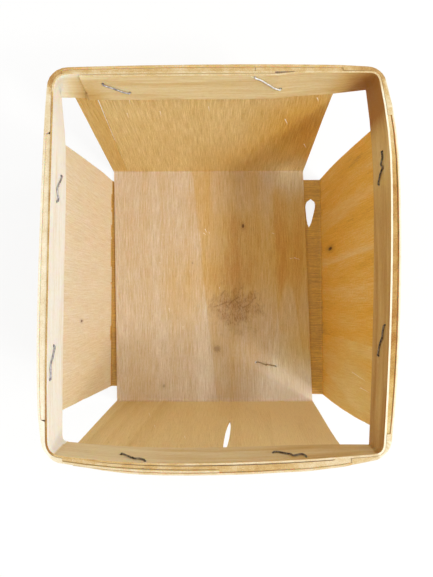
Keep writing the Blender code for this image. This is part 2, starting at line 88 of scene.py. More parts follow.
def selectOnly(piece):
    bpy.ops.object.select_all(action="DESELECT")
    piece.select_set(True)
    bpy.context.view_layer.objects.active = piece


def smooth(share):
    share = min(max(share, 0), 1)
    return share * share * (3 - 2 * share)


def ripple(x, y, seed):
    # soft noise between about -1 and 1
    return noise.noise(Vector((x, y, seed)))


# Camera, at the photograph's angle: the image is taken as 433 x 577 pixels
shot = {
    "place": (2.712 * mm, -15.102 * mm, 275.404 * mm),
    "turn": (2.689, 0.575, -0.164),         # degrees
    "focalPixels": 450.78, "longSide": 577, "shortSide": 433, "sensor": 36,
}
bpy.ops.object.camera_add(location=shot["place"], rotation=[math.radians(a) for a in shot["turn"]])
camera = bpy.context.object
camera.name = "overheadCamera"
camera.data.sensor_width = shot["sensor"]
camera.data.lens = shot["sensor"] * shot["focalPixels"] / shot["longSide"]
camera.data.clip_start = 0.01
bpy.context.scene.camera = camera
bpy.context.scene.view_settings.view_transform = "Standard"


# Light: a long narrow window high beyond the east side, brightest at its southern end, throws the rim's
# shadow over half the floor and reaches in through the corner gaps. An even pale room does the rest.
lights = {
    "eastWindow": {"place": (0.80, -0.25, 1.0), "long": 0.86, "tall": 0.16, "watts": 5.5, "colour": "#FFFEFC"},
    "southEastWindow": {"place": (0.80, -0.58, 1.0), "long": 0.20, "tall": 0.16, "watts": 3.5, "colour": "#FFFEFC"},
    "room": {"colour": "#FFFFFF", "strength": 0.88},
}
for name in ("eastWindow", "southEastWindow"):
    window = lights[name]
    facing = Vector((window["place"][0], 0, window["place"][2]))
    bpy.ops.object.light_add(type="AREA", location=window["place"], rotation=facing.to_track_quat("Z", "Y").to_euler())
    lamp = bpy.context.object
    lamp.name = name
    lamp.data.shape = "RECTANGLE"
    lamp.data.size = window["long"]
    lamp.data.size_y = window["tall"]
    lamp.data.energy = window["watts"]
    lamp.data.color = linear(window["colour"])[:3]

world = bpy.data.worlds.new("paleStudio")
bpy.context.scene.world = world
world.use_nodes = True
sky = world.node_tree.nodes["Background"]
rays = addNode(world.node_tree, "ShaderNodeLightPath")
# the strength is 1 where the camera or a glossy ray sees the background, and lower as light
seen = addNode(world.node_tree, "ShaderNodeMath", {"operation": "MAXIMUM"},
               {0: rays.outputs["Is Camera Ray"], 1: rays.outputs["Is Glossy Ray"]})
strength = addNode(world.node_tree, "ShaderNodeMapRange",
                   {"To Min": lights["room"]["strength"], "To Max": 1.0}, {"Value": seen.outputs[0]})
sky.inputs["Color"].default_value = linear(lights["room"]["colour"])
world.node_tree.links.new(strength.outputs[0], sky.inputs["Strength"])

# Table: matt white card that the camera sees paler than it is lit, so that only a soft shadow is left
table = {"size": 4.0, "colour": "#F2F2F0", "lift": 0.80}
bpy.ops.mesh.primitive_plane_add(size=table["size"], location=(0, 0, 0))
floor = bpy.context.object
floor.name = "paleTable"
card = bpy.data.materials.new("matt white card")
card.use_nodes = True
tree = card.node_tree
matt = tree.nodes["Principled BSDF"]
matt.inputs["Base Color"].default_value = linear(table["colour"])
matt.inputs["Roughness"].default_value = 0.9
glow = addNode(tree, "ShaderNodeEmission", {"Color": (1, 1, 1, 1), "Strength": 1.0})
rays = addNode(tree, "ShaderNodeLightPath")
seen = addNode(tree, "ShaderNodeMath", {"operation": "MAXIMUM"},
               {0: rays.outputs["Is Camera Ray"], 1: rays.outputs["Is Glossy Ray"]})
share = addNode(tree, "ShaderNodeMath", {"operation": "MULTIPLY", 1: table["lift"]}, {0: seen.outputs[0]})
blend = addNode(tree, "ShaderNodeMixShader", {},
                {"Fac": share.outputs[0], 1: matt.outputs[0], 2: glow.outputs[0]})
tree.links.new(blend.outputs[0], tree.nodes["Material Output"].inputs["Surface"])
floor.data.materials.append(card)
print("table, light and camera ready")

# Places read off the photograph in pixels are looked up on the CAD sheets, along the camera's sight line
sheetTrees = {}
for name in ("strap_ns", "strap_ew", "inner_band", "outer_band"):
    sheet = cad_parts[name].data
    sheetTrees[name] = BVHTree.FromPolygons([v.co for v in sheet.vertices], [p.vertices for p in sheet.polygons])


def sightLine(pixel):
    aim = Vector((pixel[0] - shot["shortSide"] / 2, shot["longSide"] / 2 - pixel[1], -shot["focalPixels"]))
    aim.rotate(Euler([math.radians(a) for a in shot["turn"]]))
    return Vector(shot["place"]), aim.normalized()


def seenPlace(pixel):
    # nearest sheet there: its name, the place on it and the way its face looks
    start, aim = sightLine(pixel)
    hits = []
    for name, tree in sheetTrees.items():
        place, look, index, distance = tree.ray_cast(start, aim)
        if place:
            hits.append((distance, name, place, look))
    distance, name, place, look = min(hits, key=lambda hit: hit[0])
    return name, place, look



# Veneer: peeled from the log with a long knife, so the fibres are torn a little and the growth rings
# show as wide soft bands. The eye gets matt straight-grained wood with fine streaks, short dark pores
# and pale fuzz. One colour ramp runs from sapwood to browner wood; the painted tone picks the place, and it also
# carries painted light and shade.
# yellow tint: it makes walls yellower and paints the warm colour of the shade
yellowTint = "#FFF8C8"


def peeledVeneer(name, look, placeOf=None):
    material = bpy.data.materials.new(name)
    material.use_nodes = True
    tree = material.node_tree
    shader = tree.nodes["Principled BSDF"]

    # millimetres across and along the grain, with the fibres wandering a little
    uv = addNode(tree, "ShaderNodeUVMap", {"uv_map": "grain"})
    flat = addNode(tree, "ShaderNodeVectorMath", {"operation": "SCALE", "Scale": 1000}, {0: uv.outputs[0]})
    placed = addNode(tree, "ShaderNodeVectorMath", {"operation": "ADD", 1: look["offset"]}, {0: flat.outputs[0]})
    slow = addNode(tree, "ShaderNodeMapping", {"Scale": (1 / 45, 1 / 70, 1)}, {"Vector": placed.outputs[0]})
    wander = addNode(tree, "ShaderNodeTexNoise", {"Scale": 1, "Detail": 1}, {"Vector": slow.outputs[0]})
    sway = addNode(tree, "ShaderNodeMapRange",
                   {"From Min": 0.3, "From Max": 0.7, "To Min": -look["sway"], "To Max": look["sway"]},
                   {"Value": wander.outputs["Fac"]})
    shift = addNode(tree, "ShaderNodeCombineXYZ", {}, {"X": sway.outputs[0]})
    grain = addNode(tree, "ShaderNodeVectorMath", {"operation": "ADD"}, {0: placed.outputs[0], 1: shift.outputs[0]})

    def streaks(width, length, detail, roughness):
        # noise drawn out along the grain, from its real width and length in millimetres
        scaled = addNode(tree, "ShaderNodeMapping", {"Scale": (1 / width, 1 / length, 1)},
                         {"Vector": grain.outputs[0]})
        return addNode(tree, "ShaderNodeTexNoise", {"Scale": 1, "Detail": detail, "Roughness": roughness},
                       {"Vector": scaled.outputs[0]}).outputs["Fac"]

    def ranged(source, low, high, fromLow=0.0, fromHigh=1.0):
        return addNode(tree, "ShaderNodeMapRange",
                       {"From Min": fromLow, "From Max": fromHigh, "To Min": low, "To Max": high},
                       {"Value": source}).outputs[0]

    def plus(first, second):
        return addNode(tree, "ShaderNodeMath", {"operation": "ADD"}, {0: first, 1: second}).outputs[0]

    def times(first, second):
        return addNode(tree, "ShaderNodeMath", {"operation": "MULTIPLY"}, {0: first, 1: second}).outputs[0]

    fibres = streaks(look["fibreWidth"], look["fibreLength"], 3, 0.6)
    # nap: torn fibres lie in short tufts that the raking light picks out
    nap = streaks(look["napWidth"], look["napWidth"] * 3, 3, 0.7)
    bands = streaks(look["bandWidth"], look["bandLength"], 2, 0.5)
    # growth rings: a slow ramp and a quick return, bent by low noise as a peeled sheet shows them
    # and fan apart up the wall past the crease
    split = addNode(tree, "ShaderNodeSeparateXYZ", {}, {0: flat.outputs[0]})
    above = addNode(tree, "ShaderNodeMath", {"operation": "SUBTRACT", 1: look["fanFrom"]}, {0: split.outputs["Y"]})
    climb = addNode(tree, "ShaderNodeMath", {"operation": "MAXIMUM", 1: 0}, {0: above.outputs[0]})
    spread = ranged(climb.outputs[0], 1, 1 + look["fan"], 0, 1)
    spread.node.clamp = False
    across = addNode(tree, "ShaderNodeMath", {"operation": "DIVIDE"}, {0: split.outputs["X"], 1: spread})
    counted = addNode(tree, "ShaderNodeMath", {"operation": "MULTIPLY_ADD", 1: 1 / look["ringWidth"],
                                              2: look["ringStart"]}, {0: across.outputs[0]})
    bend = ranged(streaks(look["ringWidth"] * 2, look["ringWidth"] * 9, 2, 0.5),
                  -look["ringBend"], look["ringBend"], 0.3, 0.7)
    ringPlace = plus(counted.outputs[0], bend)
    figure = addNode(tree, "ShaderNodeAttribute", {"attribute_name": "figure"}).outputs["Fac"]
    ringPart = addNode(tree, "ShaderNodeMath", {"operation": "FRACT"}, {0: ringPlace})
    rings = addNode(tree, "ShaderNodeFloatCurve", {}, {"Value": ringPart.outputs[0]})
    curve = rings.mapping.curves[0]
    curve.points[0].location = (0, 0)
    curve.points[1].location = (1, 0)
    for place in ((0.55, 0.45), (0.86, 1.0), (0.95, 0.30)):
        curve.points.new(*place)
    rings.mapping.update()

    tone = addNode(tree, "ShaderNodeAttribute", {"attribute_name": "tone"}).outputs["Fac"]
    level = plus(tone, ranged(fibres, -look["fibres"], look["fibres"], 0.25, 0.75))
    level = plus(level, ranged(nap, -look["nap"], look["nap"], 0.25, 0.75))
    level = plus(level, times(figure, ranged(bands, -look["bands"], look["bands"], 0.3, 0.7)))
    level = plus(level, times(figure, ranged(rings.outputs[0], -look["rings"] / 2, look["rings"])))
    for line in look["lines"]:
        # one growth line: the wood changes tone across it and comes back over some distance
        (firstAcross, firstAlong), (lastAcross, lastAlong) = (placeOf(seenPlace(p)[1]) for p in line["pixels"])
        lean = (lastAcross - firstAcross) / (lastAlong - firstAlong)
        leaning = addNode(tree, "ShaderNodeMath", {"operation": "MULTIPLY_ADD", 1: -lean,
                                                  2: (lean * firstAlong - firstAcross) / mm}, {0: split.outputs["Y"]})
        past = plus(split.outputs["X"], leaning.outputs[0])
        past = plus(past, ranged(fibres, -0.5, 0.5, 0.3, 0.7))
        step = ranged(past, 0, line["amount"], -line["blur"], line["blur"])
        # it fades out past its two ends
        low, high = sorted((firstAlong / mm, lastAlong / mm))
        inside = times(ranged(split.outputs["Y"], 0, 1, low - 4, low), ranged(split.outputs["Y"], 1, 0, high, high + 4))
        level = plus(level, times(times(step, inside), ranged(past, 1, 0, 0, line["reach"])))
    for arch in look["arches"]:
        # cathedral figure: a paler pointed arch where the knife left one ring and met the next
        across, along = placeOf(seenPlace(arch["pixel"])[1])
        sideways = addNode(tree, "ShaderNodeMath", {"operation": "MULTIPLY_ADD", 1: 1 / arch["width"],
                                                   2: -across / mm / arch["width"]}, {0: split.outputs["X"]})
        below = addNode(tree, "ShaderNodeMath", {"operation": "MULTIPLY_ADD", 1: -1 / arch["length"],
                                                2: along / mm / arch["length"]}, {0: split.outputs["Y"]})
        square = times(sideways.outputs[0], sideways.outputs[0])
        inside = addNode(tree, "ShaderNodeMath", {"operation": "SUBTRACT"}, {0: below.outputs[0], 1: square})
        level = plus(level, ranged(inside.outputs[0], 0, arch["amount"], -0.04, 0.10))
    wood = addNode(tree, "ShaderNodeValToRGB", {}, {"Fac": level})
    stops = wood.color_ramp.elements
    stops[0].position, stops[0].color = 0.0, linear(look["colours"][0])
    stops[1].position, stops[1].color = 1.0, linear(look["colours"][-1])
    for step, colour in enumerate(look["colours"][1:-1], start=1):
        stop = stops.new(step / (len(look["colours"]) - 1))
        stop.color = linear(colour)
    colour = wood.outputs["Color"]

    # pores: short dashes along the grain, drawn about twice their real width so that they show
    pores = ranged(streaks(0.36, 3.6, 2, 0.6), 0, look["pores"], 0.58, 0.74)
    colour = addNode(tree, "ShaderNodeMix", {"data_type": "RGBA", 7: linear(look["poreColour"])},
                     {0: pores, 6: colour}).outputs[2]
    # fuzz: torn fibre ends that catch the light as pale ticks
    fuzz = ranged(streaks(0.30, 1.1, 2, 0.6), 0, look["fuzz"], 0.62, 0.78)
    colour = addNode(tree, "ShaderNodeMix", {"data_type": "RGBA", 7: linear(look["fuzzColour"])},
                     {0: fuzz, 6: colour}).outputs[2]

    # torn fibres shade each other: a fine light and dark grain of painted shade, painted stronger or weaker by the
    # rough share that each side is given
    rough = addNode(tree, "ShaderNodeAttribute", {"attribute_name": "rough"}).outputs["Fac"]
    shade = plus(ranged(fibres, -look["shade"], look["shade"], 0.3, 0.7),
                 ranged(nap, -look["shade"] * 0.3, look["shade"] * 0.3, 0.3, 0.7))
    # what is shaded also turns warmer: blue goes first
    lost = addNode(tree, "ShaderNodeVectorMath", {"operation": "SCALE", 0: (0.7, 1.0, 1.6)},
                   {"Scale": times(rough, shade)})
    kept = addNode(tree, "ShaderNodeVectorMath", {"operation": "SUBTRACT", 0: (1, 1, 1)}, {1: lost.outputs[0]})
    colour = addNode(tree, "ShaderNodeVectorMath", {"operation": "MULTIPLY"},
                     {0: colour, 1: kept.outputs[0]}).outputs[0]

    # the painted share multiplies the colour by the yellow tint: it makes the north and south walls yellower, and
    # paints the warm colour of the shade on the floor, the east side and the rim
    yellowingAndShadeWarmth = addNode(tree, "ShaderNodeAttribute", {"attribute_name": "yellowingAndShadeWarmth"}).outputs["Fac"]
    colour = addNode(tree, "ShaderNodeMix", {"data_type": "RGBA", "blend_type": "MULTIPLY", 7: linear(yellowTint)},
                     {0: yellowingAndShadeWarmth, 6: colour}).outputs[2]
    for knot in look["knots"]:
        # a small dark pin knot with a browner ring, a little longer along the grain
        across, along = placeOf(seenPlace(knot["pixel"])[1])
        away = addNode(tree, "ShaderNodeVectorMath", {"operation": "SUBTRACT", 1: (across / mm, along / mm, 0)},
                       {0: flat.outputs[0]})
        squeezed = addNode(tree, "ShaderNodeVectorMath",
                           {"operation": "DIVIDE", 1: (knot["width"], knot["length"], 1)}, {0: away.outputs[0]})
        rough = addNode(tree, "ShaderNodeTexNoise", {"Scale": 1.4, "Detail": 2}, {"Vector": flat.outputs[0]})
        size = addNode(tree, "ShaderNodeVectorMath", {"operation": "LENGTH"}, {0: squeezed.outputs[0]})
        near = plus(size.outputs["Value"], ranged(rough.outputs["Fac"], -0.35, 0.35))
        core = ranged(near, knot["dark"], 0, 0.30, 0.62)
        colour = addNode(tree, "ShaderNodeMix", {"data_type": "RGBA", 7: linear(look["knotColour"])},
                         {0: core, 6: colour}).outputs[2]
        halo = ranged(near, knot["dark"] * 0.35, 0, 0.4, 1.6)
        colour = addNode(tree, "ShaderNodeMix", {"data_type": "RGBA", 7: linear(look["stainColour"])},
                         {0: halo, 6: colour}).outputs[2]
    if "scribble" in look:
        # worn patch: a brown cloud of short dark ticks along the grain, with single leaning strokes
        patch = look["scribble"]
        across, along = placeOf(seenPlace(patch["pixel"])[1])
        away = addNode(tree, "ShaderNodeVectorMath", {"operation": "SUBTRACT", 1: (across / mm, along / mm, 0)},
                       {0: flat.outputs[0]})
        squeezed = addNode(tree, "ShaderNodeVectorMath",
                           {"operation": "DIVIDE", 1: (patch["width"] / 2, patch["length"] / 2, 1)},
                           {0: away.outputs[0]})
        size = addNode(tree, "ShaderNodeVectorMath", {"operation": "LENGTH"}, {0: squeezed.outputs[0]})
        ragged = addNode(tree, "ShaderNodeTexNoise", {"Scale": 0.16, "Detail": 3}, {"Vector": flat.outputs[0]})
        cloud = ranged(plus(size.outputs["Value"], ranged(ragged.outputs["Fac"], -0.9, 0.9)), 1, 0, 0.15, 1.0)
        turned = addNode(tree, "ShaderNodeMapping", {"Rotation": (0, 0, -patch["lean"]), "Scale": (1 / 0.55, 1 / 1.7, 1)},
                         {"Vector": flat.outputs[0]})
        dashes = addNode(tree, "ShaderNodeTexNoise", {"Scale": 1, "Detail": 2, "Roughness": 0.6, "Distortion": 0.8},
                         {"Vector": turned.outputs[0]})
        lines = ranged(dashes.outputs["Fac"], 0, patch["dashes"], 0.50, 0.62)
        colour = addNode(tree, "ShaderNodeMix", {"data_type": "RGBA", 7: linear(patch["colour"])},
                         {0: times(lines, cloud), 6: colour}).outputs[2]
        haze = ranged(cloud, 0, patch["haze"])
        colour = addNode(tree, "ShaderNodeMix", {"data_type": "RGBA", 7: linear(patch["hazeColour"])},
                         {0: haze, 6: colour}).outputs[2]
        nearest = None
        for first, last in patch["strokes"]:
            # distance in millimetres from a straight stroke between two pixels
            start, end = (Vector((*placeOf(seenPlace(p)[1]), 0)) / mm for p in (first, last))
            away = addNode(tree, "ShaderNodeVectorMath", {"operation": "SUBTRACT", 1: start}, {0: flat.outputs[0]})
            along = addNode(tree, "ShaderNodeVectorMath", {"operation": "DOT_PRODUCT", 1: end - start},
                            {0: away.outputs[0]})
            share = ranged(along.outputs["Value"], 0, 1, 0, (end - start).length_squared)
            reached = addNode(tree, "ShaderNodeVectorMath", {"operation": "SCALE", 0: end - start}, {"Scale": share})
            gap = addNode(tree, "ShaderNodeVectorMath", {"operation": "DISTANCE"},
                          {0: away.outputs[0], 1: reached.outputs[0]}).outputs["Value"]
            nearest = gap if nearest is None else addNode(
                tree, "ShaderNodeMath", {"operation": "MINIMUM"}, {0: nearest, 1: gap}).outputs[0]
        broken = ranged(dashes.outputs["Fac"], -0.35, 0.35, 0.3, 0.7)
        strokes = ranged(plus(nearest, broken), patch["dark"], 0, 0.05, patch["strokeWidth"])
        colour = addNode(tree, "ShaderNodeMix", {"data_type": "RGBA", 7: linear(patch["colour"])},
                         {0: strokes, 6: colour}).outputs[2]

    tree.links.new(colour, shader.inputs["Base Color"])
    tree.links.new(ranged(fibres, 0.78, 0.58), shader.inputs["Roughness"])
    shader.inputs["Specular IOR Level"].default_value = 0.3
    # light soaks through the thin sheet: the side that the window shines on from outside glows golden
    # less of it where the sheet thins to a feather edge, which would otherwise turn green
    thinned = addNode(tree, "ShaderNodeAttribute", {"attribute_name": "thinned"}).outputs["Fac"]
    tree.links.new(ranged(thinned, look["soak"], 0), shader.inputs["Subsurface Weight"])
    shader.inputs["Subsurface Radius"].default_value = (1.0, 0.42, 0.12)
    shader.inputs["Subsurface Scale"].default_value = 1.2 * mm
    height = plus(plus(fibres, nap), ranged(pores, 0, -0.8))
    bump = addNode(tree, "ShaderNodeBump", {"Strength": look["relief"], "Distance": 0.18 * mm}, {"Height": height})
    tree.links.new(bump.outputs[0], shader.inputs["Normal"])
    return material


# Cut edges: sliced across the layers and left rough, so they look fuzzier than the faces. The eye gets
# a band of short bright and dull fibre ends; the painted edge tone runs from cream to golden brown.
def cutEdge(name, look):
    material = bpy.data.materials.new(name)
    material.use_nodes = True
    tree = material.node_tree
    shader = tree.nodes["Principled BSDF"]
    place = addNode(tree, "ShaderNodeTexCoord")

    def ends(size, detail):
        return addNode(tree, "ShaderNodeTexNoise", {"Scale": 1 / size, "Detail": detail, "Roughness": 0.65},
                       {"Vector": place.outputs["Object"]}).outputs["Fac"]

    def ranged(source, low, high):
        return addNode(tree, "ShaderNodeMapRange",
                       {"From Min": 0.3, "From Max": 0.7, "To Min": low, "To Max": high}, {"Value": source}).outputs[0]

    fine = ends(look["fineSize"], 3)
    both = addNode(tree, "ShaderNodeMath", {"operation": "ADD"},
                   {0: ranged(fine, -look["fine"], look["fine"]),
                    1: ranged(ends(look["coarseSize"], 2), -look["coarse"], look["coarse"])})
    tone = addNode(tree, "ShaderNodeAttribute", {"attribute_name": "edge"}).outputs["Fac"]
    level = addNode(tree, "ShaderNodeMath", {"operation": "ADD"}, {0: both.outputs[0], 1: tone})
    wood = addNode(tree, "ShaderNodeValToRGB", {}, {"Fac": level.outputs[0]})
    stops = wood.color_ramp.elements
    stops[0].position, stops[0].color = 0.0, linear(look["colours"][0])
    stops[1].position, stops[1].color = 1.0, linear(look["colours"][-1])
    for step, colour in enumerate(look["colours"][1:-1], start=1):
        stop = stops.new(step / (len(look["colours"]) - 1))
        stop.color = linear(colour)
    # the edges take the same yellow tint, with its painted warmth of the shade
    yellowingAndShadeWarmth = addNode(tree, "ShaderNodeAttribute", {"attribute_name": "yellowingAndShadeWarmth"}).outputs["Fac"]
    colour = addNode(tree, "ShaderNodeMix", {"data_type": "RGBA", "blend_type": "MULTIPLY", 7: linear(yellowTint)},
                     {0: yellowingAndShadeWarmth, 6: wood.outputs["Color"]}).outputs[2]
    tree.links.new(colour, shader.inputs["Base Color"])
    shader.inputs["Roughness"].default_value = 0.8
    shader.inputs["Specular IOR Level"].default_value = 0.25
    bump = addNode(tree, "ShaderNodeBump", {"Strength": 0.5, "Distance": 0.12 * mm}, {"Height": fine})
    tree.links.new(bump.outputs[0], shader.inputs["Normal"])
    return material


# Sheets: each is a merged copy of its CAD node, cut into a lattice fine enough to fray and ripple
def latticeCopy(nodeName, pieceName, cuts):
    piece = bpy.data.objects.new(pieceName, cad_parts[nodeName].data.copy())
    bpy.context.collection.objects.link(piece)
    selectOnly(piece)
    piece.data.materials.clear()
    bpy.ops.mesh.customdata_custom_splitnormals_clear()
    bpy.ops.object.mode_set(mode="EDIT")
    bpy.ops.mesh.select_all(action="SELECT")
    bpy.ops.mesh.remove_doubles(threshold=0.002 * mm)
    bpy.ops.mesh.tris_convert_to_quads(face_threshold=math.radians(2), shape_threshold=math.radians(80))
    for axis, first, last, step in cuts:
        normal = Vector((0, 0, 0))
        normal[axis] = 1
        for index in range(int((last - first) / step) + 1):
            bpy.ops.mesh.select_all(action="SELECT")
            bpy.ops.mesh.bisect(plane_co=normal * (first + index * step), plane_no=normal)
    bpy.ops.object.mode_set(mode="OBJECT")
    return piece


def writeGrain(piece, placeOf):
    # UV map in metres: across the grain, along the grain
    layer = piece.data.uv_layers.new(name="grain")
    places = [placeOf(vertex) for vertex in piece.data.vertices]
    for loop in piece.data.loops:
        layer.data[loop.index].uv = places[loop.vertex_index]


def paint(piece, name, amountOf):
    layer = piece.data.attributes.new(name=name, type="FLOAT", domain="POINT")
    for vertex in piece.data.vertices:
        layer.data[vertex.index].value = amountOf(vertex.co)


def washes(bases, spots):
    # tone at a point: the base of its side of the basket, and soft round washes over it, each with its
    # place and reach in millimetres and its amount
    def toneAt(co):
        tone = bases[sideOf(co)]
        for place, reach, amount in spots:
            away = (co / mm - Vector(place)).length / reach
            tone += amount * (1 - smooth(away))
        return tone
    return toneAt


def sideOf(co):
    # floor, or the wall that the point belongs to
    if co.z < 3 * mm:
        return "floor"
    if abs(co.x) / abs(cadBox[0].x) > abs(co.y) / abs(cadBox[0].y):
        return "east" if co.x > 0 else "west"
    return "north" if co.y > 0 else "south"


def nearStaple(co, reach):
    # the legs pass through clearance holes that must keep their size
    return any((co - place).length < reach for place in stapleMiddles(co))


stapleBoxes = {name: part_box(name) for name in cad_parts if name.startswith("staple")}


def stapleMiddles(co):
    found = []
    for low, high in stapleBoxes.values():
        found.append(Vector([min(max(co[i], low[i]), high[i]) for i in range(3)]))
    return found


def outwardAt(co):
    return {"east": Vector((1, 0, 0)), "west": Vector((-1, 0, 0)), "north": Vector((0, 1, 0)),
            "south": Vector((0, -1, 0)), "floor": Vector((0, 0, -1))}[sideOf(co)]


def fillTops(piece, level, gap):
    # the crushed fibres of a top edge stand up nearly to the rim and spread until they nearly touch the band
    mesh = bmesh.new()
    mesh.from_mesh(piece.data)
    mesh.normal_update()
    moves = {}
    for vertex in mesh.verts:
        if vertex.co.z < 84 * mm or not any(face.normal.z > 0.7 for face in vertex.link_faces):
            continue
        out = outwardAt(vertex.co)
        move = Vector((0, 0, max(0, level - vertex.co.z)))
        low = vertex.co - Vector((0, 0, 0.1 * mm))
        for way, band, reach in ((out, "outer_band", 4 * mm), (-out, "inner_band", 0.6 * mm)):
            if any(face.normal.dot(way) > 0.7 for face in vertex.link_faces):
                room = sheetTrees[band].ray_cast(low, way, reach)[3]
                behind = sheetTrees[band].ray_cast(low, -way, 0.5 * mm)[3]
                if room and not behind:
                    move += way * max(0, room - gap)
        for side in (Vector((-out.y, out.x, 0)), Vector((out.y, -out.x, 0))):
            if any(face.normal.dot(side) > 0.7 for face in vertex.link_faces):
                move += side * 5 * gap
        moves[vertex] = move
    for vertex, move in moves.items():
        vertex.co += move
    mesh.to_mesh(piece.data)
    mesh.free()


def ripples(piece, waves):
    # gentle waves left by drying: each has its length across and along, its amount and the zone it fades in
    mesh = bmesh.new()
    mesh.from_mesh(piece.data)
    mesh.normal_update()
    moves = {}
    for vertex in mesh.verts:
        side = sideOf(vertex.co)
        if side not in waves:
            continue
        wave = waves[side]
        across, along = wave["place"](vertex.co)
        amount = ripple(across / wave["across"], along / wave["along"], wave["seed"])
        fade = smooth((vertex.co.z - wave["low"]) / (10 * mm)) * smooth((wave["high"] - vertex.co.z) / (8 * mm))
        moves[vertex] = wave["way"] * (amount * wave["amount"] * fade)
    for vertex, move in moves.items():
        vertex.co += move
    mesh.to_mesh(piece.data)
    mesh.free()


def paintEdges(piece, facts):
    # tone of the cut edges: by side, with soft washes, and another step at the outer rim of each.
    # This paints light and shade into the edges: wall tops sunk in the gaps between the bands get a browner painted
    # shade, and edges the window lights get a paler painted light.
    toneAt = washes(facts["edges"], facts["edgeWashes"])
    outerRims = set()
    for face in piece.data.polygons:
        if face.normal.dot(outwardAt(face.center)) > 0.5:
            outerRims.update(face.vertices)
    layer = piece.data.attributes.new(name="edge", type="FLOAT", domain="POINT")
    for vertex in piece.data.vertices:
        step = facts["outerRim"][sideOf(vertex.co)] if vertex.index in outerRims else 0
        layer.data[vertex.index].value = min(max(toneAt(vertex.co) + step, 0), 1)


def fray(piece, isCut, depth, seed):
    # push the rims of the cut edges in and out along their own faces' normals, top edges only inward
    mesh = bmesh.new()
    mesh.from_mesh(piece.data)
    for vertex in mesh.verts:
        normals = [face.normal for face in vertex.link_faces if isCut(face.normal, face.calc_center_median())]
        if not normals or nearStaple(vertex.co, 1.2 * mm):
            continue
        outward = sum(normals, Vector()).normalized()
        along = vertex.co.x * 0.83 + vertex.co.y + vertex.co.z * 0.61
        amount = 0.55 * ripple(along / (9 * mm), 0, seed) + 0.45 * ripple(along / (2.2 * mm), 0, seed + 5)
        nick = smooth((ripple(along / (6.5 * mm), 3, seed) - 0.42) / 0.2)
        if outward.z > 0.5:
            amount = -abs(amount)
        vertex.co += outward * depth * (amount - 1.3 * nick)
    mesh.to_mesh(piece.data)
    mesh.free()


def markCuts(piece, isCut):
    # faces get the veneer, cut edges the second material
    for face in piece.data.polygons:
        face.material_index = 1 if isCut(face.normal, face.center) else 0


def finishSheet(piece, node, materials):
    for material in materials:
        piece.data.materials.append(material)
    selectOnly(piece)
    bpy.ops.object.shade_smooth_by_angle(angle=math.radians(38))
    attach(piece, "root")
    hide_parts(node)
    print(piece.name, len(piece.data.polygons), "faces")


edgeLook = {
    "fineSize": 0.5 * mm, "fine": 0.16, "coarseSize": 5 * mm, "coarse": 0.12,
    "colours": ("#F7EDDA", "#E2D3B2", "#CAAA70", "#A06E34"),
}
roughEdge = cutEdge("sliced veneer edge", edgeLook)
topEdges = {"level": 88.5 * mm, "gap": 0.07 * mm}

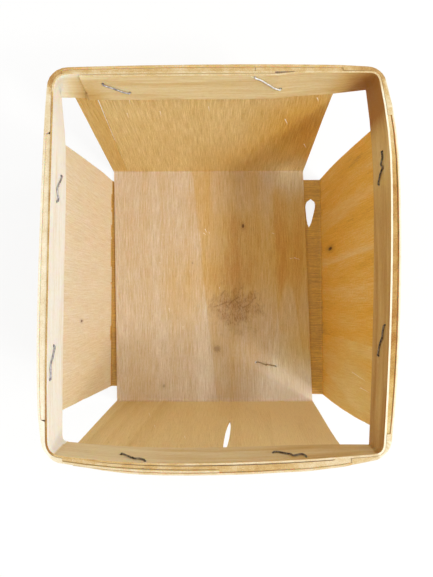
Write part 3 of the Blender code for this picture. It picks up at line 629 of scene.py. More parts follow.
# Floor and north and south walls: the strap with its grain from north to south
floorStrap = {
    "crease": 70.15 * mm, "level": 2 * mm, "lattice": 2.0 * mm, "fray": 0.16 * mm,
    # painted light and shade: over each side's base tone, the washes paint the rim's shadow darker over the east half
    # of the floor and the east end of the north wall, darken its soft edge and the floor's south-west, and paint paler
    # the light that falls through the south-east and north-east corner gaps; the smaller washes make the floor's middle
    # and the north wall's foot darker and the south end of the middle paler
    "tones": {"floor": 0.30, "north": 0.24, "south": 0.12, "east": 0.5, "west": 0.3},
    "washes": (((60, 20, 2), 80, 0.46), ((44, -66, 2), 34, -0.60), ((50, 79, 45), 48, 0.60), ((-60, -64, 2), 45, 0.16),
               ((8, 34, 2), 22, 0.24), ((8, 8, 2), 24, 0.26), ((46, 68, 2), 20, -0.42), ((-50, 10, 2), 60, 0.04), ((-18, -2, 2), 34, 0.15), ((-6, 52, 2), 24, 0.10),
               ((-6, -58, 2), 26, -0.12), ((12, 72, 14), 34, 0.24), ((54, -42, 2), 26, 0.16)),
    # painted shade strength by side: how strongly the fine fibre shading is painted, strongest on the north wall, where
    # the light rakes across it
    "rough": {"floor": 1.2, "north": 1.45, "south": 0.3, "east": 1, "west": 1},
    "strip": 0.26,                          # the narrow strip west of the crack is browner
    # the north and south walls are painted yellower; the washes paint the warm colour of the shade on the floor's
    # south-east, east and north-east
    "yellowingAndShadeWarmth": {"floor": 0.0, "north": 1.0, "south": 1.0, "east": 0, "west": 0},
    "shadeWarmthWashes": (((54, -36, 2), 32, 1.0), ((50, 20, 2), 50, 1.0), ((46, 66, 2), 22, 0.55)),
    # painted shade: the north and south wall tops, sunk in the gap between the bands, are painted browner for the shade
    # there; the south wall's top is paler towards its east end
    "edges": {"north": 0.62, "south": 0.66, "east": 0.2, "west": 0.3, "floor": 0.25},
    "edgeWashes": (((-52, -80, 88), 26, -0.04), ((52, -80, 88), 26, -0.24)),
    "outerRim": {"north": 0, "south": 0, "east": 0, "west": 0, "floor": 0},
    "crack": {"across": -54.3 * mm, "reach": 10 * mm, "lift": 0.65 * mm, "low": 3 * mm, "high": 74 * mm},
    "look": {
        "offset": (0, 0, 0), "sway": 1.2, "fibreWidth": 0.50, "fibreLength": 11, "fibres": 0.08, "shade": 0.13,
        "napWidth": 0.5, "nap": 0.05,
        "bandWidth": 7, "bandLength": 140, "bands": 0.08,
        "ringWidth": 30, "ringStart": 0.2, "ringBend": 0.25, "rings": 0.05, "fanFrom": 70, "fan": 0.0,
        "colours": ("#E8D8C3", "#D6BE9E", "#D0AA6A", "#C4893A"),
        "poreColour": "#7E4E22", "pores": 0.24, "fuzzColour": "#F5DFB4", "fuzz": 0.40,
        "stainColour": "#7A5330", "knotColour": "#5A3416", "relief": 1.2, "soak": 0.4,
        "knots": (
            {"pixel": (243, 226), "width": 1.3, "length": 2.4, "dark": 0.95},
            {"pixel": (217, 349), "width": 4.2, "length": 3.8, "dark": 0.34},
            {"pixel": (164, 386), "width": 1.4, "length": 2.0, "dark": 0.35},
            {"pixel": (192.5, 263), "width": 0.8, "length": 1.2, "dark": 0.3},
        ),
        "lines": (
            {"pixels": ((192.5, 172), (216.5, 397)), "amount": 0.17, "blur": 0.5, "reach": 60},
            {"pixels": ((273, 190), (279, 330)), "amount": 0.14, "blur": 1.0, "reach": 14},
            {"pixels": ((157, 172), (172, 380)), "amount": 0.09, "blur": 0.8, "reach": 18},
            {"pixels": ((126.5, 402), (87, 441)), "amount": 0.20, "blur": 1.2, "reach": 7},
            {"pixels": ((141, 402), (104, 443)), "amount": 0.10, "blur": 1.0, "reach": 4},
            {"pixels": ((162, 402), (128, 444)), "amount": 0.16, "blur": 1.2, "reach": 11},
            {"pixels": ((286, 402), (306, 443)), "amount": 0.10, "blur": 1.2, "reach": 9},
        ),
        "arches": (
            {"pixel": (287, 281), "width": 8.6, "length": 40, "amount": -0.17},
            {"pixel": (247, 322), "width": 4.0, "length": 40, "amount": -0.05},
        ),
        "scribble": {
            "pixel": (237, 307), "width": 34, "length": 32, "dashes": 0.62, "haze": 0.42, "colour": "#6E3E10", "hazeColour": "#9A6218",
            "lean": math.radians(-10), "dark": 0.42, "strokeWidth": 0.50,
            "strokes": (
                ((213.8, 306.8), (220.8, 304.6)), ((220.8, 304.6), (227, 302)), ((230, 302.9), (234.2, 299.6)),
                ((234.2, 299.6), (238.8, 297.3)), ((242.9, 307.9), (248.3, 305)), ((248.3, 305), (251.9, 301.8)),
                ((252.3, 300), (255.8, 297.4)), ((224.4, 290.8), (221, 295.6)), ((250, 292), (251.7, 294.4)),
                ((256.7, 303), (258.8, 305.6)), ((229, 304.8), (231.9, 301.7)), ((226.3, 305), (228, 307)),
                ((238.3, 306.7), (240, 309.4)), ((235.2, 318), (236.4, 321)), ((245, 299), (246, 302)),
                ((236.6, 301.8), (239, 303.4)), ((245.8, 310), (246.8, 312)),
            ),
        },
    },
}


def floorStrapPlace(co):
    rise = max(0, co.z - floorStrap["level"])
    return co.x, math.copysign(min(abs(co.y), floorStrap["crease"]) + rise, co.y)


def floorStrapCut(normal, centre):
    return abs(normal.x) > 0.7 or (centre.z > 84 * mm and normal.z > 0.7)


def liftCrackLip(piece, crack):
    # the veneer west of the crack has sprung inwards, so its torn edge stands out and catches the light
    for vertex in piece.data.vertices:
        co = vertex.co
        if co.y > floorStrap["crease"] - 2 * mm and co.x < crack["across"]:
            near = 1 - smooth((crack["across"] - co.x) / crack["reach"])
            height = smooth((co.z - crack["low"]) / (14 * mm)) * smooth((crack["high"] - co.z) / (5 * mm))
            co.y -= crack["lift"] * near * height


strapNs = latticeCopy("strap_ns", "floor_and_end_walls", [
    (0, -64 * mm, 58 * mm, floorStrap["lattice"]),
    (1, -68 * mm, 68 * mm, floorStrap["lattice"]),
    (2, 3 * mm, 87 * mm, floorStrap["lattice"]),
])
writeGrain(strapNs, lambda vertex: floorStrapPlace(vertex.co))
fillTops(strapNs, topEdges["level"], topEdges["gap"])
ripples(strapNs, {
    "floor": {"place": lambda co: (co.x, co.y), "way": Vector((0, 0, 1)), "across": 6 * mm, "along": 70 * mm,
              "amount": 0.08 * mm, "seed": 3, "low": -30 * mm, "high": 60 * mm},
    "north": {"place": lambda co: (co.x, co.z), "way": Vector((0, 1, 0)), "across": 7 * mm, "along": 60 * mm,
              "amount": 0.22 * mm, "seed": 5, "low": 2 * mm, "high": 74 * mm},
    "south": {"place": lambda co: (co.x, co.z), "way": Vector((0, 1, 0)), "across": 9 * mm, "along": 60 * mm,
              "amount": 0.25 * mm, "seed": 8, "low": 2 * mm, "high": 74 * mm},
})
fray(strapNs, floorStrapCut, floorStrap["fray"], 11)
liftCrackLip(strapNs, floorStrap["crack"])
floorTone = washes(floorStrap["tones"], floorStrap["washes"])
paint(strapNs, "tone", lambda co: floorTone(co) + floorStrap["strip"] * (
    co.y > floorStrap["crease"] and co.x < floorStrap["crack"]["across"]))
paintEdges(strapNs, floorStrap)
paint(strapNs, "figure", lambda co: 1 if co.z < 3 * mm else 0.35)
paint(strapNs, "rough", washes(floorStrap["rough"], ()))
floorYellowing = washes(floorStrap["yellowingAndShadeWarmth"], floorStrap["shadeWarmthWashes"])
paint(strapNs, "yellowingAndShadeWarmth", lambda co: floorYellowing(co) * (co.z < 84 * mm))
markCuts(strapNs, floorStrapCut)
finishSheet(strapNs, "strap_ns",
            [peeledVeneer("peeled poplar veneer, tan", floorStrap["look"], floorStrapPlace), roughEdge])

# Cross floor and east and west walls: the strap with its grain from east to west
crossStrap = {
    "crease": 64.4 * mm, "level": 1 * mm, "lattice": 2.0 * mm, "fray": 0.16 * mm,
    # painted light and shade: the west wall, which faces the window, is painted pale, and the shaded east wall and
    # floor strips golden brown; the washes make the east wall paler and the west wall darker towards their south ends
    "tones": {"floor": 0.80, "east": 0.62, "west": 0.10, "north": 0.5, "south": 0.5},
    "washes": (((70, -60, 50), 60, -0.28), ((-70, -60, 40), 60, 0.12), ((72, 0, 45), 40, -0.04)),
    # painted shade strength by side: how strongly the fine fibre shading is painted, strongest on the floor strips
    "rough": {"floor": 1.7, "north": 1, "south": 1, "east": 0.8, "west": 1.0},
    "shadedStrip": 0.06,                    # the narrow strip of floor along the west wall is browner
    # painted shade: the shaded east wall is painted yellower, most towards its south end, for the warm glow of its
    # shade
    "yellowingAndShadeWarmth": {"floor": 0.0, "north": 0, "south": 0, "east": 0.45, "west": 0.0},
    "shadeWarmthWashes": (((72, -50, 50), 60, 0.75),),
    # painted light and shade: the wall tops in the shaded gap between the bands are painted golden brown, darkest on
    # the east; the washes make the east wall's top paler at both ends and the west wall's top paler to the south and
    # darker to the north
    "edges": {"east": 0.84, "west": 0.30, "north": 0.3, "south": 0.3, "floor": 0.5},
    "edgeWashes": (((77, 62, 88), 28, -0.36), ((77, -62, 88), 28, -0.36), ((-73, -60, 88), 26, -0.20), ((-73, 60, 88), 26, 0.16)),
    "outerRim": {"north": 0, "south": 0, "east": 0, "west": 0, "floor": 0},
    "look": {
        "offset": (310, 77, 0), "sway": 1.2, "fibreWidth": 0.50, "fibreLength": 12, "fibres": 0.08, "shade": 0.08,
        "napWidth": 0.6, "nap": 0.08,
        "bandWidth": 8, "bandLength": 70, "bands": 0.16,
        "ringWidth": 19, "ringStart": 0.45, "ringBend": 0.20, "rings": 0.11, "fanFrom": 64, "fan": 0.006,
        "colours": ("#E9DFC8", "#DFCA9A", "#DCAC48", "#A87F4C"),
        "poreColour": "#80501F", "pores": 0.18, "fuzzColour": "#F2DDB0", "fuzz": 0.16,
        "stainColour": "#7A5330", "knotColour": "#3C2412", "relief": 0.6, "soak": 0.5,
        "knots": (
            {"pixel": (330.3, 248.6), "width": 2.1, "length": 5.6, "dark": 1.0},
            {"pixel": (81.6, 321), "width": 1.1, "length": 2.0, "dark": 0.9},
        ),
        "lines": (
            {"pixels": ((323, 267), (372, 248.5)), "amount": -0.12, "blur": 0.5, "reach": 5},
            {"pixels": ((323, 333), (372, 347)), "amount": 0.09, "blur": 0.6, "reach": 24},
            {"pixels": ((326, 192), (362, 156)), "amount": 0.07, "blur": 0.8, "reach": 10},
        ),
        "arches": (),
    },
}


def crossStrapPlace(co):
    rise = max(0, co.z - crossStrap["level"])
    return co.y, math.copysign(min(abs(co.x), crossStrap["crease"]) + rise, co.x)


def crossStrapCut(normal, centre):
    top = centre.z > 83 * mm and normal.z > 0.7
    hole = centre.z < 1.2 * mm and abs(normal.z) < 0.4
    return abs(normal.y) > 0.7 or top or hole


strapEw = latticeCopy("strap_ew", "cross_floor_and_side_walls", [
    (1, -66 * mm, 66 * mm, crossStrap["lattice"]),
    (0, -62 * mm, 62 * mm, crossStrap["lattice"]),
    (2, 3 * mm, 87 * mm, crossStrap["lattice"]),
])
writeGrain(strapEw, lambda vertex: crossStrapPlace(vertex.co))
fillTops(strapEw, topEdges["level"], topEdges["gap"])
ripples(strapEw, {
    "east": {"place": lambda co: (co.y, co.z), "way": Vector((1, 0, 0)), "across": 10 * mm, "along": 60 * mm,
             "amount": 0.30 * mm, "seed": 13, "low": 2 * mm, "high": 74 * mm},
    "west": {"place": lambda co: (co.y, co.z), "way": Vector((1, 0, 0)), "across": 9 * mm, "along": 60 * mm,
             "amount": 0.20 * mm, "seed": 15, "low": 2 * mm, "high": 74 * mm},
})
fray(strapEw, crossStrapCut, crossStrap["fray"], 23)
crossTone = washes(crossStrap["tones"], crossStrap["washes"])
paint(strapEw, "tone", lambda co: crossTone(co) + crossStrap["shadedStrip"] * (co.z < 3 * mm and co.x < 0))
paintEdges(strapEw, crossStrap)
paint(strapEw, "figure", lambda co: 0.45 if co.x > 0 and co.z > 3 * mm else 0.2)
paint(strapEw, "rough", washes(crossStrap["rough"], ()))
paint(strapEw, "yellowingAndShadeWarmth", washes(crossStrap["yellowingAndShadeWarmth"], crossStrap["shadeWarmthWashes"]))
markCuts(strapEw, crossStrapCut)
finishSheet(strapEw, "strap_ew",
            [peeledVeneer("peeled poplar veneer, golden", crossStrap["look"], crossStrapPlace), roughEdge])


# Rim bands: the grain runs round the rim, so the place along it is walked from one end of the strip
def walkedPlaces(piece, startPlace, reach):
    mesh = bmesh.new()
    mesh.from_mesh(piece.data)
    mesh.verts.ensure_lookup_table()
    best = [math.inf] * len(mesh.verts)
    queue = []
    for vertex in mesh.verts:
        if (Vector((vertex.co.x, vertex.co.y, 0)) - Vector(startPlace)).length < reach:
            best[vertex.index] = 0
            queue.append((0, vertex.index))
    while queue:
        walked, index = heapq.heappop(queue)
        if walked > best[index]:
            continue
        vertex = mesh.verts[index]
        for edge in vertex.link_edges:
            other = edge.other_vert(vertex)
            step = (other.co - vertex.co)
            further = walked + math.hypot(step.x, step.y)
            if further < best[other.index] - 1e-9:
                best[other.index] = further
                heapq.heappush(queue, (further, other.index))
    mesh.free()
    return best


def bandCut(normal, centre):
    # top and bottom edges, and the strip's two ends on the north and south sides
    return abs(normal.z) > 0.7 or (abs(normal.x) > 0.8 and abs(centre.x) < 66 * mm)


bandCuts = [
    (0, -67 * mm, 68 * mm, 1.5 * mm),
    (1, -73 * mm, 76 * mm, 1.5 * mm),
    (2, 74.2 * mm, 88.6 * mm, 1.6 * mm),
]
innerBand = {
    "start": (-61.0 * mm, 82.0 * mm, 0), "fray": 0.14 * mm,
    # painted light and shade: the band is painted pale on the west side, which faces the window, and dark on the shaded
    # east side; the washes paint the shadow in the north-east corner, the lit north-west corner paler and the shade
    # beside the lap darker, and make the east side paler at its north end, the south side paler to the west and darker
    # to the east
    "tones": {"north": 0.44, "east": 0.80, "south": 0.52, "west": 0.02, "floor": 0},
    "washes": (((72, 84, 80), 26, 0.68), ((-76, 80, 86), 34, -0.6), ((-58, 83, 78), 14, 0.46), ((76, 52, 82), 30, -0.22),
               ((-50, -78, 82), 45, -0.14), ((48, -78, 82), 36, 0.10)),
    "slant": {"top": -0.7 * mm, "low": 1.5 * mm, "height": 15 * mm},
    # painted shade: the shaded east side and the north side are painted a little yellower
    "yellowingAndShadeWarmth": {"north": 0.15, "east": 0.2, "south": 0, "west": 0, "floor": 0},
    # painted light and shade: the top edge is painted a different tone on each side, and paler towards the south-west
    "edges": {"north": 0.52, "east": 0.04, "south": 0.44, "west": 0.78, "floor": 0},
    "edgeWashes": (((-46, -82, 88), 60, 0.34),),
    "outerRim": {"north": 0, "east": 0, "south": 0, "west": 0, "floor": 0},
    "look": {
        "offset": (40, 900, 0), "sway": 0.5, "fibreWidth": 0.5, "fibreLength": 20, "fibres": 0.09, "shade": 0.04,
        "napWidth": 0.6, "nap": 0.04,
        "bandWidth": 5, "bandLength": 120, "bands": 0.08,
        "ringWidth": 11, "ringStart": 0, "ringBend": 0.5, "rings": 0.06, "fanFrom": 0, "fan": 0.0,
        "colours": ("#F8F4EC", "#E6D5AC", "#CDAA6C", "#A26E30"),
        "poreColour": "#8A5A2C", "pores": 0.16, "fuzzColour": "#F9ECCF", "fuzz": 0.22,
        "stainColour": "#7A4A22", "knotColour": "#3C2412", "relief": 0.4, "soak": 0.4,
        "knots": (), "lines": (), "arches": (),
    },
}
outerBand = {
    "start": (0, -78 * mm, 0), "fray": 0.18 * mm,
    # painted light and shade: the band is painted pale on the west side, which faces the window, and golden on the
    # shaded east side, which also gets a little of the yellow tint
    "tones": {"north": 0.36, "east": 0.50, "south": 0.30, "west": 0.05, "floor": 0},
    "washes": (), "yellowingAndShadeWarmth": {"north": 0.0, "east": 0.15, "south": 0.0, "west": 0, "floor": 0},
    "taper": {"end": -57.5 * mm, "length": 26 * mm, "thin": 0.68 * mm, "close": 0.24 * mm},
    # painted light and shade: the top edge is painted a different tone on each side and at each corner, and its outer
    # rim is painted paler on the east side, where the window's light falls on it
    "edges": {"north": 0.62, "east": 0.36, "south": 0.52, "west": 0.14, "floor": 0},
    "edgeWashes": (((-78, 68, 89), 44, 0.30), ((-70, -80, 89), 30, -0.10), ((78, 84, 89), 32, 0.24), ((78, -78, 89), 28, 0.12)),
    "outerRim": {"north": 0.02, "east": -0.40, "south": -0.10, "west": 0.0, "floor": 0},
    "look": {
        "offset": (140, 2100, 0), "sway": 0.5, "fibreWidth": 0.5, "fibreLength": 20, "fibres": 0.10, "shade": 0.04,
        "napWidth": 0.6, "nap": 0.05,
        "bandWidth": 5, "bandLength": 100, "bands": 0.10,
        "ringWidth": 12, "ringStart": 0.3, "ringBend": 0.6, "rings": 0.08, "fanFrom": 0, "fan": 0.0,
        "colours": ("#F4E8CE", "#E6CC92", "#D8AC5C", "#B0813E"),
        "poreColour": "#8A5A2C", "pores": 0.18, "fuzzColour": "#F9ECCF", "fuzz": 0.25,
        "stainColour": "#7A4A22", "knotColour": "#3C2412", "relief": 0.45, "soak": 0.9,
        "knots": (), "lines": (), "arches": (),
    },
}


def fillCorners(piece):
    # round the corners no wall keeps the bands apart, so the outer band's crushed edge spreads to the inner band
    tree = sheetTrees["inner_band"]
    walls = [sheetTrees["strap_ns"], sheetTrees["strap_ew"]]
    mesh = bmesh.new()
    mesh.from_mesh(piece.data)
    mesh.normal_update()
    moves = {}
    for vertex in mesh.verts:
        tops = [face for face in vertex.link_faces if face.normal.z > 0.7]
        sides = [face.normal for face in vertex.link_faces if abs(face.normal.z) < 0.5]
        isCorner = abs(vertex.co.x) > 50 * mm and abs(vertex.co.y) > 55 * mm
        if vertex.co.z < 84 * mm or not isCorner or not tops or not sides:
            continue
        way = sum(sides, Vector())
        way.z = 0
        way.normalize()
        start = vertex.co - Vector((0, 0, 0.1 * mm))
        room = tree.ray_cast(start, way, 4 * mm)[3]
        lower = [vertex.co - Vector((0, 0, drop * mm)) for drop in (2.4, 4)]
        if room and not any(wall.ray_cast(spot, way, 3 * mm)[3] for wall in walls for spot in lower):
            moves[vertex] = way * max(0, room - 2 * topEdges["gap"])
    for vertex, move in moves.items():
        vertex.co += move
    mesh.to_mesh(piece.data)
    mesh.free()


def slantEnd(piece, slant):
    # the visible end of the inner band's lap was cut at a slant
    ends = set()
    for face in piece.data.polygons:
        if face.normal.x < -0.8 and face.center.y > 0 and -62 * mm < face.center.x < -50 * mm:
            ends.update(face.vertices)
    for index in ends:
        co = piece.data.vertices[index].co
        down = smooth((cadBox[1].z - co.z) / slant["height"])
        co.x += slant["top"] + (slant["low"] - slant["top"]) * down


def facesBeyond(tree, co):
    # how many faces of the sheet lie from here outwards on the south side
    spot, count = Vector((max(co.x, outerBand["taper"]["end"] + 0.3 * mm), co.y + 0.05 * mm, co.z - 0.3 * mm)), 0
    while count < 4:
        spot = tree.ray_cast(spot, Vector((0, -1, 0)), 4 * mm)[0]
        if not spot:
            break
        spot = spot - Vector((0, 0.01 * mm, 0))
        count += 1
    return count


def taperEnd(piece, taper):
    # the outer band's last stretch thins to a feather edge and lies close, so the rim shows no step there
    for vertex in piece.data.vertices:
        co = vertex.co
        share = (co.x - taper["end"]) / taper["length"]
        if co.y > -60 * mm or not -0.1 < share < 1:
            continue
        count = facesBeyond(sheetTrees["outer_band"], co)
        if count in (1, 2):
            co.y += (taper["close"] + (taper["thin"] if count == 1 else 0)) * (1 - smooth(share))


# the lattice is also cut close past each wall's end, where the outer band's edge begins to spread
wallEnds = []
for node, axis in (("strap_ns", 0), ("strap_ew", 1)):
    tops = [v.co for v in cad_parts[node].data.vertices if v.co.z > 84 * mm]
    for isPositive in (False, True):
        places = [co[axis] for co in tops if (co[1 - axis] > 0) == isPositive]
        wallEnds += [(axis, min(places) - 0.25 * mm, min(places) + 0.1 * mm, 0.3 * mm),
                     (axis, max(places) - 0.05 * mm, max(places) + 0.3 * mm, 0.3 * mm)]

bandPieces = {}
for node, pieceName, slotName, facts, woodName, seed in (
        ("inner_band", "inner_rim_band", "veneer_pale", innerBand, "peeled poplar veneer, pale", 31),
        ("outer_band", "outer_rim_band", "veneer_gold", outerBand, "peeled poplar veneer, rim", 47)):
    piece = latticeCopy(node, pieceName, bandCuts + (wallEnds if node == "outer_band" else []))
    walked = walkedPlaces(piece, facts["start"], 3 * mm)
    writeGrain(piece, lambda vertex: (vertex.co.z, walked[vertex.index]))
    if node == "outer_band":
        fillCorners(piece)
        taperEnd(piece, facts["taper"])
        paint(piece, "thinned", lambda co: 1 - smooth((co.x - outerBand["taper"]["end"]) / outerBand["taper"]["length"])
              if co.y < -60 * mm else 0)
    else:
        slantEnd(piece, facts["slant"])
    fray(piece, bandCut, facts["fray"], seed)
    paint(piece, "tone", washes(facts["tones"], facts["washes"]))
    paintEdges(piece, facts)
    paint(piece, "figure", lambda co: 1)
    paint(piece, "rough", lambda co: 1)
    paint(piece, "yellowingAndShadeWarmth", washes(facts["yellowingAndShadeWarmth"], ()))
    markCuts(piece, bandCut)
    finishSheet(piece, node, [peeledVeneer(woodName, facts["look"]), roughEdge])
    bandPieces[node] = piece

sheets = {"strap_ns": strapNs, "strap_ew": strapEw, **bandPieces}
print("veneer done")

# Slivers: one thin tapered chip, copied and laid where the photograph shows a torn fibre that catches the
# light. Each has its two ends in pixels, its width and how far its thin end stands off, in millimetres.
slivers = (
    ((205, 229), (207, 233), 0.6, 0.3), ((203.5, 233), (206, 235), 0.5, 0.3), ((209, 232), (210, 235), 0.4, 0.2),
    ((160, 262), (160, 266), 0.35, 0.2), ((169, 308), (169.5, 312), 0.35, 0.2), ((183, 326), (183, 330), 0.35, 0.2),
    ((272, 233), (275, 234), 0.35, 0.2), ((219.6, 287), (219.6, 290), 0.35, 0.2),
    ((290, 258.6), (294, 257.6), 0.25, 0.05), ((294, 257.6), (299.5, 259.4), 0.25, 0.05),
    ((127, 113), (129, 117.5), 0.4, 0.3), ((160, 111), (161.2, 115.5), 0.45, 0.3), ((208.5, 106.5), (209.5, 111), 0.4, 0.3),
    ((285, 119), (287.5, 123.5), 0.6, 0.4), ((304, 144), (306.3, 147.5), 0.45, 0.4), ((317, 97.5), (318.6, 101), 0.5, 0.3),
    ((129.4, 94), (129.8, 104), 0.55, 0.2),
    ((149, 413), (150.8, 418), 0.35, 0.2), ((154.4, 425), (155.6, 429), 0.3, 0.2), ((184.5, 436), (185.6, 440), 0.3, 0.2),
    ((352, 372), (366, 381.5), 0.3, 0.05), ((360, 387.5), (371, 393.5), 0.3, 0.05),
    ((391.6, 161), (389.4, 169), 0.55, 0.4), ((254.6, 73), (257.4, 79), 0.5, 0.4), ((251, 76.5), (256, 78.6), 0.4, 0.2),
)
sliverThickness = 0.45              # share of its width
bpy.ops.mesh.primitive_cone_add(vertices=6, radius1=0.5, radius2=0.05, depth=1, location=(0, 0, 0))
sliverShape = bpy.context.object
chips = {name: [] for name in sheets}
for first, last, width, lift in slivers:
    name, start, look = seenPlace(first)
    end = seenPlace(last)[1]
    along = (end + look * lift * mm - start)
    across = along.cross(look).normalized()
    up = across.cross(along).normalized()
    axes = Matrix((across * width * mm, up * width * sliverThickness * mm, along)).transposed().to_4x4()
    chip = sliverShape.copy()
    chip.data = sliverShape.data.copy()
    bpy.context.collection.objects.link(chip)
    chip.data.transform(Matrix.Translation((start + end) / 2 + look * lift * mm / 2) @ axes)
    chip.data.materials.append(roughEdge)
    chips[name].append(chip)
bpy.data.objects.remove(sliverShape)
for name, found in chips.items():
    if found:
        selectOnly(sheets[name])
        for chip in found:
            chip.select_set(True)
        bpy.ops.object.join()
for sheet in sheets.values():
    for vertex in sheet.data.vertices:
        vertex.co.z = min(max(vertex.co.z, cadBox[0].z), cadBox[1].z)
print(len(slivers), "slivers joined to their sheets")


# Staple wire: drawn and galvanised, bent by the stapler's clincher. The eye gets a thin metal line with
# dull oxide patches; the room, and copies painted lighter and darker for the light each staple is in, decide whether it
# looks white or nearly black.
def drawnWire(name, look):
    material = bpy.data.materials.new(name)
    material.use_nodes = True
    tree = material.node_tree
    shader = tree.nodes["Principled BSDF"]
    place = addNode(tree, "ShaderNodeTexCoord")
    patches = addNode(tree, "ShaderNodeTexNoise", {"Scale": 1 / (1.1 * mm), "Detail": 3, "Roughness": 0.6},
                      {"Vector": place.outputs["Object"]})
    metal = addNode(tree, "ShaderNodeValToRGB", {}, {"Fac": patches.outputs["Fac"]})
    stops = metal.color_ramp.elements
    stops[0].position, stops[0].color = 0.38, linear(look["dull"])
    stops[1].position, stops[1].color = 0.62, linear(look["bright"])
    tree.links.new(metal.outputs["Color"], shader.inputs["Base Color"])
    rough = addNode(tree, "ShaderNodeMapRange", {"To Min": look["rough"] + 0.15, "To Max": look["rough"] - 0.1},
                    {"Value": patches.outputs["Fac"]})
    tree.links.new(rough.outputs[0], shader.inputs["Roughness"])
    shader.inputs["Metallic"].default_value = look["metal"]
    scratches = addNode(tree, "ShaderNodeTexNoise", {"Scale": 1 / (0.25 * mm), "Detail": 2},
                        {"Vector": place.outputs["Object"]})
    bump = addNode(tree, "ShaderNodeBump", {"Strength": 0.5, "Distance": 0.03 * mm}, {"Height": scratches.outputs["Fac"]})
    tree.links.new(bump.outputs[0], shader.inputs["Normal"])
    return material


# painted light and shade: copies of one wire, painted bright for the staple that catches the window, grey, and dark for
# the staples in shade; the dusty one is for the staple sunk in the floor
wireSteels = {
    "bright": drawnWire("galvanised wire, painted light", {"dull": "#C9CACC", "bright": "#F2F2F2", "rough": 0.45, "metal": 0.55}),
    "grey": drawnWire("galvanised wire, grey", {"dull": "#8D8B90", "bright": "#C4C2C8", "rough": 0.42, "metal": 0.8}),
    "dark": drawnWire("galvanised wire, painted shade", {"dull": "#3A3028", "bright": "#8A7C68", "rough": 0.5, "metal": 0.8}),
    "dusty": drawnWire("galvanised wire, dusty", {"dull": "#7A6244", "bright": "#C2A67E", "rough": 0.8, "metal": 0.1}),
}
wire = {"radius": 0.36 * mm, "bend": 0.5 * mm, "pass": 0.6 * mm, "meet": 0.5, "step": 0.35 * mm, "sunk": 0.18 * mm}
# What is seen of each staple inside the basket: the line of its two clinched legs, in pixels
staples = {
    "staple_north_1": ("grey", ((101, 85.6), (105.4, 87.1), (113.5, 89.4), (118.5, 91.3), (123.5, 92.9), (129.5, 94))),
    "staple_north_2": ("bright", ((254.8, 78.6), (261, 80.5), (268.5, 84.5), (274.8, 88.3), (282.3, 90.8))),
    "staple_west_2": ("grey", ((58.2, 203.1), (58.8, 199.4), (58.1, 195), (57.8, 188.8), (60.9, 181.3), (62.5, 176.5))),
    "staple_west_1": ("grey", ((51, 381), (50.8, 375), (50.8, 366.9), (52.6, 360), (54.5, 351.3), (55.1, 346.5))),
    "staple_east_1": ("dark", ((382.1, 150.3), (382.8, 156.9), (381.3, 163.8), (382.7, 166.9), (380.3, 175), (378.1, 184.8))),
    "staple_east_2": ("dark", ((384.5, 324.4), (383, 332.5), (382.6, 337.5), (380.8, 341.9), (379, 350), (377.8, 356.5))),
    "staple_south_2": ("dark", ((145, 462), (139, 460.8), (134.6, 461), (130.9, 460.1), (125.3, 458), (120.3, 456.4))),
    "staple_south_1": ("dark", ((307.6, 458), (302.3, 456.3), (294.8, 457.8), (291.6, 456.6), (284.8, 455.5), (278.5, 454.3),
                                (273.3, 454.3))),
    "staple_floor": ("dusty", ((257.4, 363), (259.2, 362.6), (264.9, 364.3), (270.5, 365), (274.9, 365.9))),
}


def stapleAxes(node):
    # middle, across, outward (away from the inside), sideways, and the crown's and tips' levels
    places = np.array([v.co for v in node.data.vertices])
    middle = places.mean(0)
    away = Vector((middle[0], middle[1], 0)) if middle[2] > 20 * mm else Vector((0, 0, -1))
    outward = Vector(np.linalg.svd(places - middle)[2][1])
    outward *= math.copysign(1, outward.dot(away))
    levels = (places - middle) @ np.array(outward)
    crown = places[levels > levels.max() - 2 * wire["radius"]]
    across = Vector(np.linalg.svd(crown - crown.mean(0))[2][0])
    outward = (outward - across * outward.dot(across)).normalized()
    levels = (places - middle) @ np.array(outward)
    spread = (places - middle) @ np.array(across)
    middle = Vector(middle) + across * (spread.max() + spread.min()) / 2
    sideways = across.cross(outward)
    drift = (crown - np.array(middle)) @ np.array(sideways)
    middle += sideways * (drift.max() + drift.min()) / 2
    half = (spread.max() - spread.min()) / 2 - wire["radius"]
    return middle, across, outward, sideways, half, levels.max() - 1.05 * wire["radius"], levels.min() + wire["radius"]


def smoothLine(points, step):
    # the same line in small even steps, rounded through its points
    fine = []
    for index in range(len(points) - 1):
        before = points[max(index - 1, 0)]
        a, b = points[index], points[index + 1]
        after = points[min(index + 2, len(points) - 1)]
        count = max(1, round((b - a).length / step))
        for part in range(count):
            t = part / count
            fine.append(0.5 * (2 * a + (b - before) * t + (2 * before - 5 * a + 4 * b - after) * t * t
                               + (3 * a - before - 3 * b + after) * t ** 3))
    return fine + [points[-1]]


def halfLine(seen, leg, tipShift, axes):
    # one leg, from its tip along the inside to its bend, through the layers and up to the crown
    middle, across, outward, sideways, half, crown, clinch = axes
    bend, clinch = wire["bend"], clinch + wire["sunk"]
    run = [middle + across * a + sideways * s + outward * clinch for a, s in seen
           if abs(a - leg) > 1.3 * bend]
    if not run:
        run = [middle + across * (leg - math.copysign(2 * bend, leg)) + outward * clinch]
    for index in range(min(4, len(run))):
        run[index] = run[index] + sideways * tipShift * (1 - index / 4)
    way = (run[-1] - (middle + across * leg + outward * clinch))
    way = (way - outward * way.dot(outward)).normalized()
    corner = middle + across * leg
    turns = [corner + outward * (clinch + bend * (1 - math.sin(math.radians(angle))))
             + way * bend * (1 - math.cos(math.radians(angle))) for angle in (90, 60, 30, 0)]
    inward = across * math.copysign(1, -leg)
    top = [corner + outward * (crown - bend * (1 - math.sin(math.radians(angle))))
           + inward * bend * (1 - math.cos(math.radians(angle))) for angle in (0, 30, 60, 90)]
    return run + turns + top


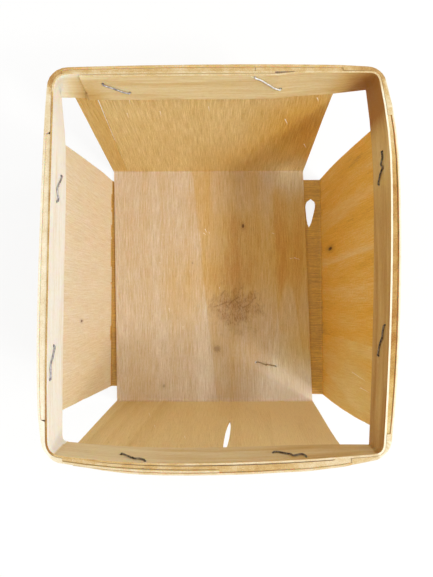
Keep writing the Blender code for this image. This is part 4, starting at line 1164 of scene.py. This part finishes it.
for name, (steel, pixels) in staples.items():
    axes = stapleAxes(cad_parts[name])
    middle, across, outward, sideways, half, crown, clinch = axes
    seen = []
    for pixel in pixels:
        start, aim = sightLine(pixel)
        plane = middle + outward * clinch
        place = start + aim * ((plane - start).dot(outward) / aim.dot(outward)) - middle
        seen.append(Vector((place.dot(across), place.dot(sideways))))
    if seen[0].x > seen[-1].x:
        seen.reverse()
    # the line is fitted between the two leg holes
    low, high = seen[0].copy(), seen[-1].copy()
    for spot in seen:
        share = (spot.x - low.x) / (high.x - low.x)
        spot.y -= low.y * (1 - share) + high.y * share
        spot.x = (2 * share - 1) * half
    seen = smoothLine(seen, wire["step"])
    low, high = seen[0].x, seen[-1].x
    meet = low + (high - low) * wire["meet"]
    firstHalf = [s for s in reversed(seen) if s[0] <= meet + wire["pass"]]
    lastHalf = [s for s in seen if s[0] >= meet - wire["pass"]]
    line = halfLine(firstHalf, -half, 0, axes) + list(reversed(halfLine(lastHalf, half, wire["pass"], axes)))
    line = smoothLine(line, wire["step"])
    for place in line:
        place.z = min(place.z, cadBox[1].z - 1.5 * wire["radius"])
    curve = bpy.data.curves.new(name, "CURVE")
    curve.dimensions = "3D"
    curve.bevel_depth = wire["radius"]
    curve.bevel_resolution = 2
    curve.use_fill_caps = True
    spline = curve.splines.new("POLY")
    spline.points.add(len(line) - 1)
    for index, place in enumerate(line):
        spline.points[index].co = (*place, 1)
        # the tips are cut to a chisel
        spline.points[index].radius = min(1, 0.35 + 0.3 * min(index, len(line) - 1 - index))
    piece = bpy.data.objects.new("wire_" + name, curve)
    bpy.context.collection.objects.link(piece)
    selectOnly(piece)
    bpy.ops.object.convert(target="MESH")
    piece = bpy.context.object
    bpy.ops.object.mode_set(mode="EDIT")
    bpy.ops.mesh.select_all(action="SELECT")
    bpy.ops.mesh.remove_doubles(threshold=0.002 * mm)
    bpy.ops.mesh.normals_make_consistent(inside=False)
    bpy.ops.object.mode_set(mode="OBJECT")
    bpy.ops.object.shade_smooth()
    for vertex in piece.data.vertices:
        vertex.co = [min(max(c, low), high) for c, low, high in zip(vertex.co, *cadBox)]
    piece.data.materials.append(wireSteels[steel])
    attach(piece, "root")
    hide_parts(name)
print(len(staples), "staples done")
